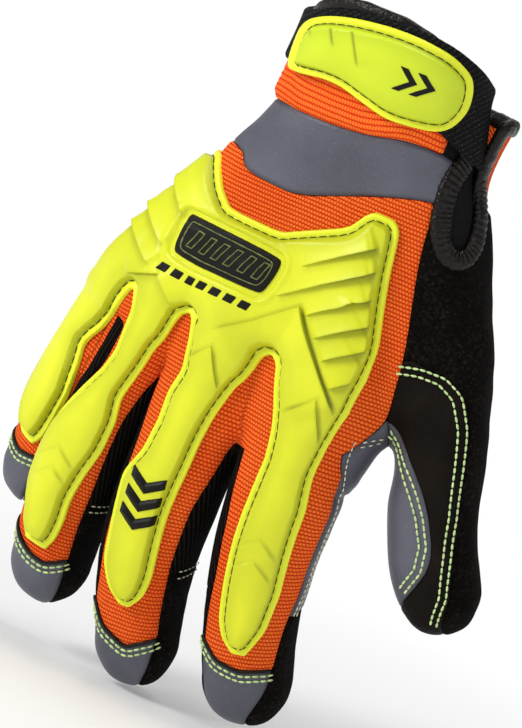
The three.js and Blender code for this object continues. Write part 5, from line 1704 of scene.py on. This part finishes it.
def make_stage(context):
    """The floor, the studio lights and the camera at the photograph's angle."""
    scene = context.scene
    low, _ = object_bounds()
    bpy.ops.mesh.primitive_circle_add(vertices=96, radius=40, fill_type="NGON", location=(0, 0, low.z - 0.0015))
    floor = context.active_object
    floor.name = "floor"
    f = Finish("floor", (0.8, 0.8, 0.8), 0.9, 0.05)
    away = f.add("ShaderNodeVectorMath", {0: f.place()}, operation="LENGTH").outputs["Value"]
    far = f.spread(away, 0.14, 0.34)
    f.links.new(f.mix(far, (0.2, 0.2, 0.2), (1, 1, 1)), f.shader.inputs["Emission Color"])
    f.shader.inputs["Emission Strength"].default_value = 1.0
    f.colour(f.mix(far, (0.8, 0.8, 0.8), (0, 0, 0)))
    floor.data.materials.append(f.material)
    floor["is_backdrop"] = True

    world = bpy.data.worlds.new("studio")
    scene.world = world
    world.use_nodes = True
    nodes, links = world.node_tree.nodes, world.node_tree.links
    glow = nodes["Background"]
    glow.inputs["Color"].default_value = (1, 1, 1, 1)
    glow.inputs["Strength"].default_value = 0.27
    white = nodes.new("ShaderNodeBackground")
    white.inputs["Color"].default_value = (1, 1, 1, 1)
    white.inputs["Strength"].default_value = 1.0
    seen, choose = nodes.new("ShaderNodeLightPath"), nodes.new("ShaderNodeMixShader")
    links.new(seen.outputs["Is Camera Ray"], choose.inputs[0])
    links.new(glow.outputs[0], choose.inputs[1])
    links.new(white.outputs[0], choose.inputs[2])
    links.new(choose.outputs[0], nodes["World Output"].inputs[0])

    def softbox(name, place, target, size, power):
        light = bpy.data.lights.new(name, "AREA")
        light.shape, light.size, light.energy = "DISK", size, power
        thing = bpy.data.objects.new(name, light)
        thing.location = place
        thing.rotation_euler = (Vector(target) - Vector(place)).to_track_quat("-Z", "Y").to_euler()
        scene.collection.objects.link(thing)

    s = sizes()
    softbox("key", (-0.75, -0.8, 0.45), (0, 0, -0.1), 0.5, s.key_power)
    softbox("fill", (0.9, -0.7, 0.1), (0, 0, -0.1), 0.8, s.fill_power)
    softbox("rim", (-0.35, 0.8, 0.7), (0, 0, -0.1), 0.5, s.rim_power)
    softbox("top", (0.05, -0.1, 1.0), (0, 0, -0.1), 0.6, s.top_power)

    camera = bpy.data.cameras.new("camera")
    camera.sensor_width, camera.lens = 36, CAMERA_LENS
    camera.clip_start, camera.clip_end = 0.05, 50
    thing = bpy.data.objects.new("camera", camera)
    right, up = Vector(CAMERA_RIGHT), Vector(CAMERA_UP)
    turn = Matrix((right, up, right.cross(up))).transposed().to_4x4()
    thing.matrix_world = Matrix.Translation(CAMERA_PLACE) @ turn
    scene.collection.objects.link(thing)
    scene.camera = thing
    scene.view_settings.view_transform = "Standard"


def length_property(name, description, default):
    return bpy.props.FloatProperty(name=name, description=description, default=default, unit="LENGTH")


def power_property(name, description, default):
    return bpy.props.FloatProperty(name=name, description=description, default=default, unit="POWER")


class GloveSizes(bpy.types.PropertyGroup):
    """Sizes that a maker would change."""

    wall: length_property("Wall", "Thickness of the cloth and leather", 0.0014)
    rim_width: length_property("Rim width", "Sewn-down rim of the guard and the strap's pad", 0.0023)
    rim_thickness: length_property("Rim thickness", "Height of that rim", 0.0012)
    guard_thickness: length_property("Guard thickness", "Height of the guard's raised body", 0.0034)
    pad_thickness: length_property("Pad thickness", "Height of the strap pad's raised body", 0.003)
    strap_thickness: length_property("Strap thickness", "Thickness of the webbing", 0.0014)
    gather_rise: length_property("Gather rise", "How far the cuff's gathers stand proud", 0.0014)
    key_power: power_property("Key light", "Power of the key light", 10.0)
    fill_power: power_property("Fill light", "Power of the fill light", 2.2)
    rim_power: power_property("Rim light", "Power of the light behind", 1.2)
    top_power: power_property("Top light", "Power of the light above", 4.5)


def colour_property(name, description, default):
    return bpy.props.FloatVectorProperty(
        name=name, description=description, subtype="COLOR", size=3, min=0, max=1, default=default)


class GloveColours(bpy.types.PropertyGroup):
    """Colours that a maker would change."""

    lime: colour_property("Lime", "Body of the guard and the strap's pad", (0.77, 0.83, 0.024))
    rim: colour_property("Rim", "Rim of the guard and the strap's pad", (0.82, 0.88, 0.03))
    orange: colour_property("Orange", "Knit of the back and the cuff", (1.0, 0.11, 0.012))
    # painted shade between the knit's dots and painted highlight on their crowns
    orange_painted_shade: colour_property("Dark orange", "Between the knit's dots", (0.5, 0.018, 0.004))
    orange_painted_highlight: colour_property("Light orange", "Crowns of the knit's dots", (1.0, 0.22, 0.035))
    leather: colour_property("Palm leather", "Suede of the palm", (0.0055, 0.0042, 0.0034))
    smooth: colour_property("Smooth leather", "Back of the thumb and the bindings", (0.0075, 0.0052, 0.0036))
    knit: colour_property("Black knit", "Between the fingers", (0.005, 0.004, 0.0035))
    webbing: colour_property("Webbing", "Strap", (0.007, 0.007, 0.0075))
    badge: colour_property("Badge", "Plate on the guard", (0.005, 0.0045, 0.003))
    grey: colour_property("Grey cloth", "Fingertips, sides and wrist band", (0.1, 0.102, 0.133))
    lining: colour_property("Lining", "Inside of the glove", (0.01, 0.01, 0.011))
    green_thread: colour_property("Green thread", "Fingertip and thumb stitching", (0.62, 0.8, 0.36))
    white_thread: colour_property("White thread", "Side stitching", (0.72, 0.76, 0.55))


def step(identifier, label, purpose, make):
    """One operator of the glove's making."""

    def execute(self, context):
        make(context)
        return {"FINISHED"}

    return type(f"GLOVE_OT_{identifier}", (bpy.types.Operator,), {
        "__doc__": purpose, "bl_idname": f"glove.{identifier}", "bl_label": label, "bl_options": {"REGISTER"},
        "execute": execute,
    })


STEPS = (
    step("back", "Back panel", "Makes the knit back of the hand and fingers", make_back),
    step("band", "Wrist band", "Makes the grey band over the wrist", make_band),
    step("caps", "Fingertips", "Makes the four grey fingertip caps", make_caps),
    step("sides", "Finger sides", "Makes the index finger's side and the knit between the fingers", make_sides),
    step("thumb", "Thumb", "Makes the thumb's side and back", make_thumb),
    step("palm", "Palm", "Makes the palm's leather", make_palm),
    step("guard", "Guard", "Makes the moulded guard with its stitching", make_guard),
    step("badge", "Badge", "Makes the plate on the guard", make_badge),
    step("gather", "Cuff", "Makes the gathered cuff", make_gather),
    step("binding", "Cuff binding", "Makes the rolled binding of the cuff", make_binding),
    step("slit", "Slit binding", "Makes the binding of the wrist's slit", make_slit),
    step("flap", "Cuff flap", "Makes the flaring flap and its binding", make_flap),
    step("strap", "Strap and pad", "Makes the strap and its moulded pad", make_strap),
    step("seams", "Seams", "Stitches the panels", make_seams),
    step("stage", "Stage", "Sets the floor, the lights and the camera", make_stage),
)


class GLOVE_PT_steps(bpy.types.Panel):
    """Lists the steps of the glove's making, its sizes and its colours"""

    bl_label = "Glove"
    bl_space_type = "VIEW_3D"
    bl_region_type = "UI"
    bl_category = "Glove"

    def draw(self, context):
        for group in (context.scene.glove_sizes, context.scene.glove_colours):
            for name in group.__annotations__:
                self.layout.prop(group, name)
        for made in STEPS:
            self.layout.operator(made.bl_idname)


CLASSES = (GloveSizes, GloveColours, *STEPS, GLOVE_PT_steps)


def register():
    for made in CLASSES:
        bpy.utils.register_class(made)
    bpy.types.Scene.glove_sizes = bpy.props.PointerProperty(type=GloveSizes)
    bpy.types.Scene.glove_colours = bpy.props.PointerProperty(type=GloveColours)


def unregister():
    del bpy.types.Scene.glove_sizes
    del bpy.types.Scene.glove_colours
    for made in reversed(CLASSES):
        bpy.utils.unregister_class(made)


def main():
    register()
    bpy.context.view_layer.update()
    for made in STEPS:
        getattr(bpy.ops.glove, made.bl_idname.split(".")[1])()


if __name__ == "__main__":
    main()
